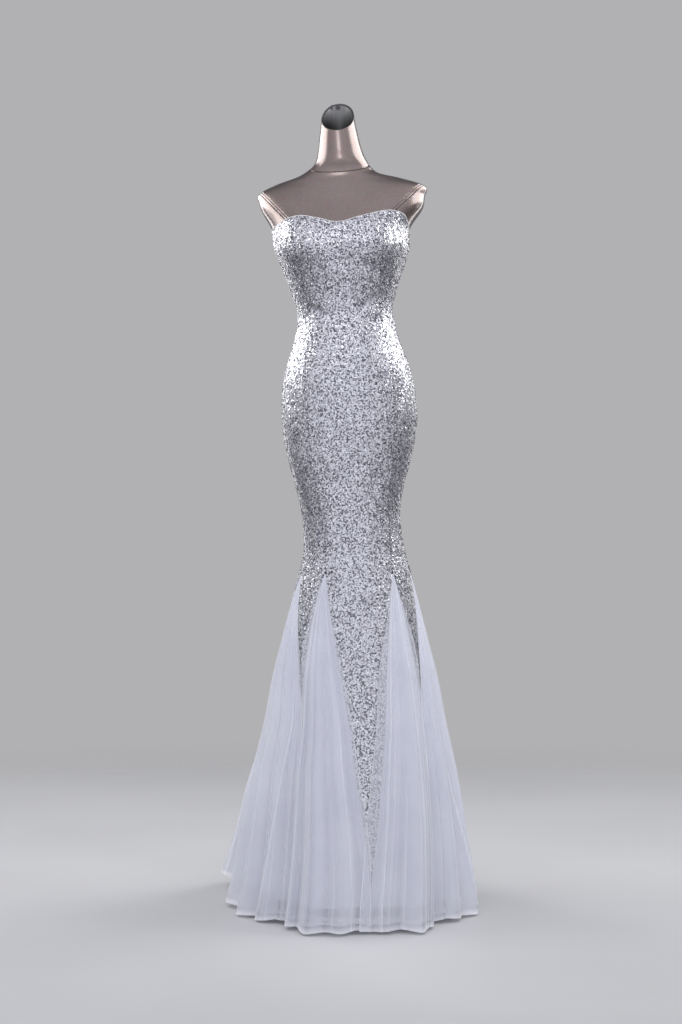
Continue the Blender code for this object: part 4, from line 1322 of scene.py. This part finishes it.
def make_zip(metal, tape):
    """The concealed zip's closed lips, its slider, and the pull tab on its hinge."""
    heights = np.linspace(*LIP_HEIGHTS, LIP_POINTS)
    seam = np.full_like(heights, math.pi)
    for name, side in (("zip_lip_r", -1), ("zip_lip_l", 1)):
        line = on_body(heights, seam) - outward(heights, seam) * LIP_SINK
        across = unit(np.cross((0.0, 0.0, 1.0), outward(heights, seam)))
        dress(make_tube(name, line + across * LIP_APART * side, LIP_RADIUS, tape), "sequin")
    seat, out, up, across = zip_frame()
    rings = []
    for height, scale in SLIDER_LEVELS:
        for turn in circle(SLIDER_SIDES):
            waist = SLIDER_WAIST + (1 - SLIDER_WAIST) * math.sin(turn)
            rim = (across * SLIDER_SIZE.x / 2 * math.cos(turn) * waist
                   + up * SLIDER_SIZE.z / 2 * math.sin(turn))
            rings.append(seat + rim * scale + out * height)
    rings = np.array(rings).reshape(len(SLIDER_LEVELS), -1, 3)
    dress(closed_rings("zip_slider_body", rings, metal), "zip", "zip_slider")
    hinge = seat + out * (SLIDER_SIZE.y + HINGE_OUT) - up * HINGE_DROP
    bridge = np.array([
        seat + out * (BRIDGE_FOOT + (BRIDGE_REACH - BRIDGE_FOOT) * math.sin(turn))
        - up * HINGE_DROP + up * BRIDGE_HALF * math.cos(turn)
        for turn in np.linspace(0.0, math.pi, BRIDGE_POINTS)])
    dress(make_tube("zip_bridge", bridge, BRIDGE_RADIUS, metal), "zip")
    dress(make_tab(hinge, metal), "zip", "zip_pull_tab", body=TAB_BODY)


def make_tab(hinge, material):
    """The flat pull tab: a slot at its top for the slider's bridge, a hole below."""
    side = [(half, z) for z, half in TAB_OUTLINE]
    loops = [side + [(-x, z) for x, z in reversed(side)]]
    for wide, middle, tall in TAB_OPENINGS:
        loops.append([(wide * math.cos(turn), middle + tall * math.sin(turn))
                      for turn in circle(OPENING_SIDES)])
    mesh = bmesh.new()
    edges = []
    for loop in loops:
        verts = [mesh.verts.new((x, -TAB_THICK / 2, z)) for x, z in loop]
        edges += [mesh.edges.new(pair) for pair in zip(verts, verts[1:] + verts[:1])]
    faces = bmesh.ops.triangle_fill(mesh, use_beauty=True, edges=edges)["geom"]
    faces = [item for item in faces if isinstance(item, bmesh.types.BMFace)]
    grown = bmesh.ops.extrude_face_region(mesh, geom=faces, use_keep_orig=True)["geom"]
    moved = [item for item in grown if isinstance(item, bmesh.types.BMVert)]
    bmesh.ops.translate(mesh, vec=(0, TAB_THICK, 0), verts=moved)
    bmesh.ops.translate(mesh, vec=hinge, verts=mesh.verts)
    tab = link_bmesh("zip_tab", mesh, material)
    bevel = tab.modifiers.new("edges", "BEVEL")
    bevel.width, bevel.segments, bevel.limit_method = TAB_BEVEL, 2, "ANGLE"
    bevel.angle_limit = math.radians(SHARP_DEG)
    return tab


# ---- studio ------------------------------------------------------------------
def make_floor():
    """A plain pale floor that meets its own horizon far behind."""
    material, tree, shader = new_material("studio_floor", (0.62, 0.62, 0.62), 0.6)
    where = object_place(tree)
    distance = add_node(tree, "VectorMath", where, operation="LENGTH").outputs["Value"]
    adjust(tree, shader, Alpha=map_range(tree, distance, FLOOR_FADE),
           Base_Color=mottled(tree, where, 1.5, 2.0, (0.50, 0.50, 0.51), (0.54, 0.54, 0.55)))
    turns = circle(FLOOR_SIDES)
    rim = np.stack([np.cos(turns), np.sin(turns), turns * 0], axis=-1) * FLOOR_FADE[1]
    points = np.concatenate([[[0, 0, 0]], rim]) - (0, 0, FLOOR_DROP)
    faces = [(0, 1 + turn, 1 + (turn + 1) % len(turns)) for turn in range(len(turns))]
    floor = link_mesh("studio_floor", points, faces, material)
    floor.visible_glossy = False


def make_world():
    """A pale backdrop for the camera, and dimmer soft light for the object."""
    world = bpy.data.worlds.new("studio")
    bpy.context.scene.world = world
    world.use_nodes = True
    tree = world.node_tree
    tree.nodes.clear()
    shown = add_node(tree, "Background", Color=(0.44, 0.44, 0.45, 1), Strength=1.0)
    where = add_node(tree, "TexCoord").outputs["Generated"]
    narrow = add_node(tree, "VectorMath", where, SKY_NARROW, operation="MULTIPLY")
    level = add_node(tree, "VectorMath", narrow.outputs["Vector"], operation="NORMALIZE")
    facing = add_node(tree, "VectorMath", level.outputs["Vector"], SKY_AIM,
                      operation="DOT_PRODUCT").outputs["Value"]
    fill = add_node(tree, "Background", Color=(0.92, 0.93, 1.0, 1),
                    Strength=map_range(tree, facing, SKY_RISE))
    seen = add_node(tree, "LightPath").outputs["Is Camera Ray"]
    mix = add_node(tree, "MixShader", seen, fill.outputs["Background"],
                   shown.outputs["Background"])
    add_node(tree, "OutputWorld", Surface=mix.outputs["Shader"])


def make_light(lamp):
    """One soft rectangle of light, aimed at a point, that the camera doesn't see."""
    data = bpy.data.lights.new(lamp.name, "AREA")
    data.shape = "RECTANGLE"
    data.size, data.size_y = lamp.width, lamp.height
    data.energy = lamp.power
    data.color = lamp.colour
    data.spread = math.radians(lamp.spread_deg)
    light = link_object(lamp.name, data)
    light.location = lamp.place
    aim = Vector(lamp.aim) - Vector(lamp.place)
    light.rotation_euler = aim.to_track_quat("-Z", "Y").to_euler()
    light.visible_camera = False


def make_camera():
    """The photograph's view, straight at the front."""
    data = bpy.data.cameras.new("camera")
    data.lens = CAMERA_LENS
    data.sensor_fit = "VERTICAL"
    data.sensor_height = CAMERA_SENSOR
    camera = link_object("camera", data)
    camera.location = CAMERA_PLACE
    camera.rotation_euler = (math.radians(90), 0, 0)
    bpy.context.scene.camera = camera


def finish_nodes():
    """Brushed steel on the CAD's own socket, base, pole and collar."""
    steel = plain_metal("brushed_steel", (0.26, 0.26, 0.28), (0.40, 0.40, 0.42), 0.32, 40)
    for name in ("neck_socket", "stand_base", "stand_pole", "stand_collar"):
        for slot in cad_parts[name].material_slots:
            slot.material = steel


def main():
    """Make every piece and the studio."""
    paint = form_material()
    inside = dark_material("neck_inside", (0.004, 0.004, 0.006), (0.19, 0.19, 0.19), 0.45)
    make_camera()
    make_torso(paint)
    # near black: the band just inside the lip, and the slots, where it is painted shade of
    # their openings
    edge = dark_material("neck_rim_and_slot_shade", (0.010, 0.010, 0.012), (0.03, 0.03, 0.035), 0.4)
    make_neck(paint, inside, edge)
    make_slots(edge)
    make_panels()
    make_binding()
    make_godets()
    make_zip(plain_metal("zip_metal", (0.50, 0.50, 0.53), (0.72, 0.72, 0.75), 0.28, 300),
             net_material())
    finish_nodes()
    make_floor()
    make_world()
    for lamp in LAMPS:
        make_light(lamp)
    scene = bpy.context.scene
    scene.view_settings.view_transform = "Standard"
    scene.cycles.transparent_max_bounces = 32
    bpy.context.view_layer.update()


main()
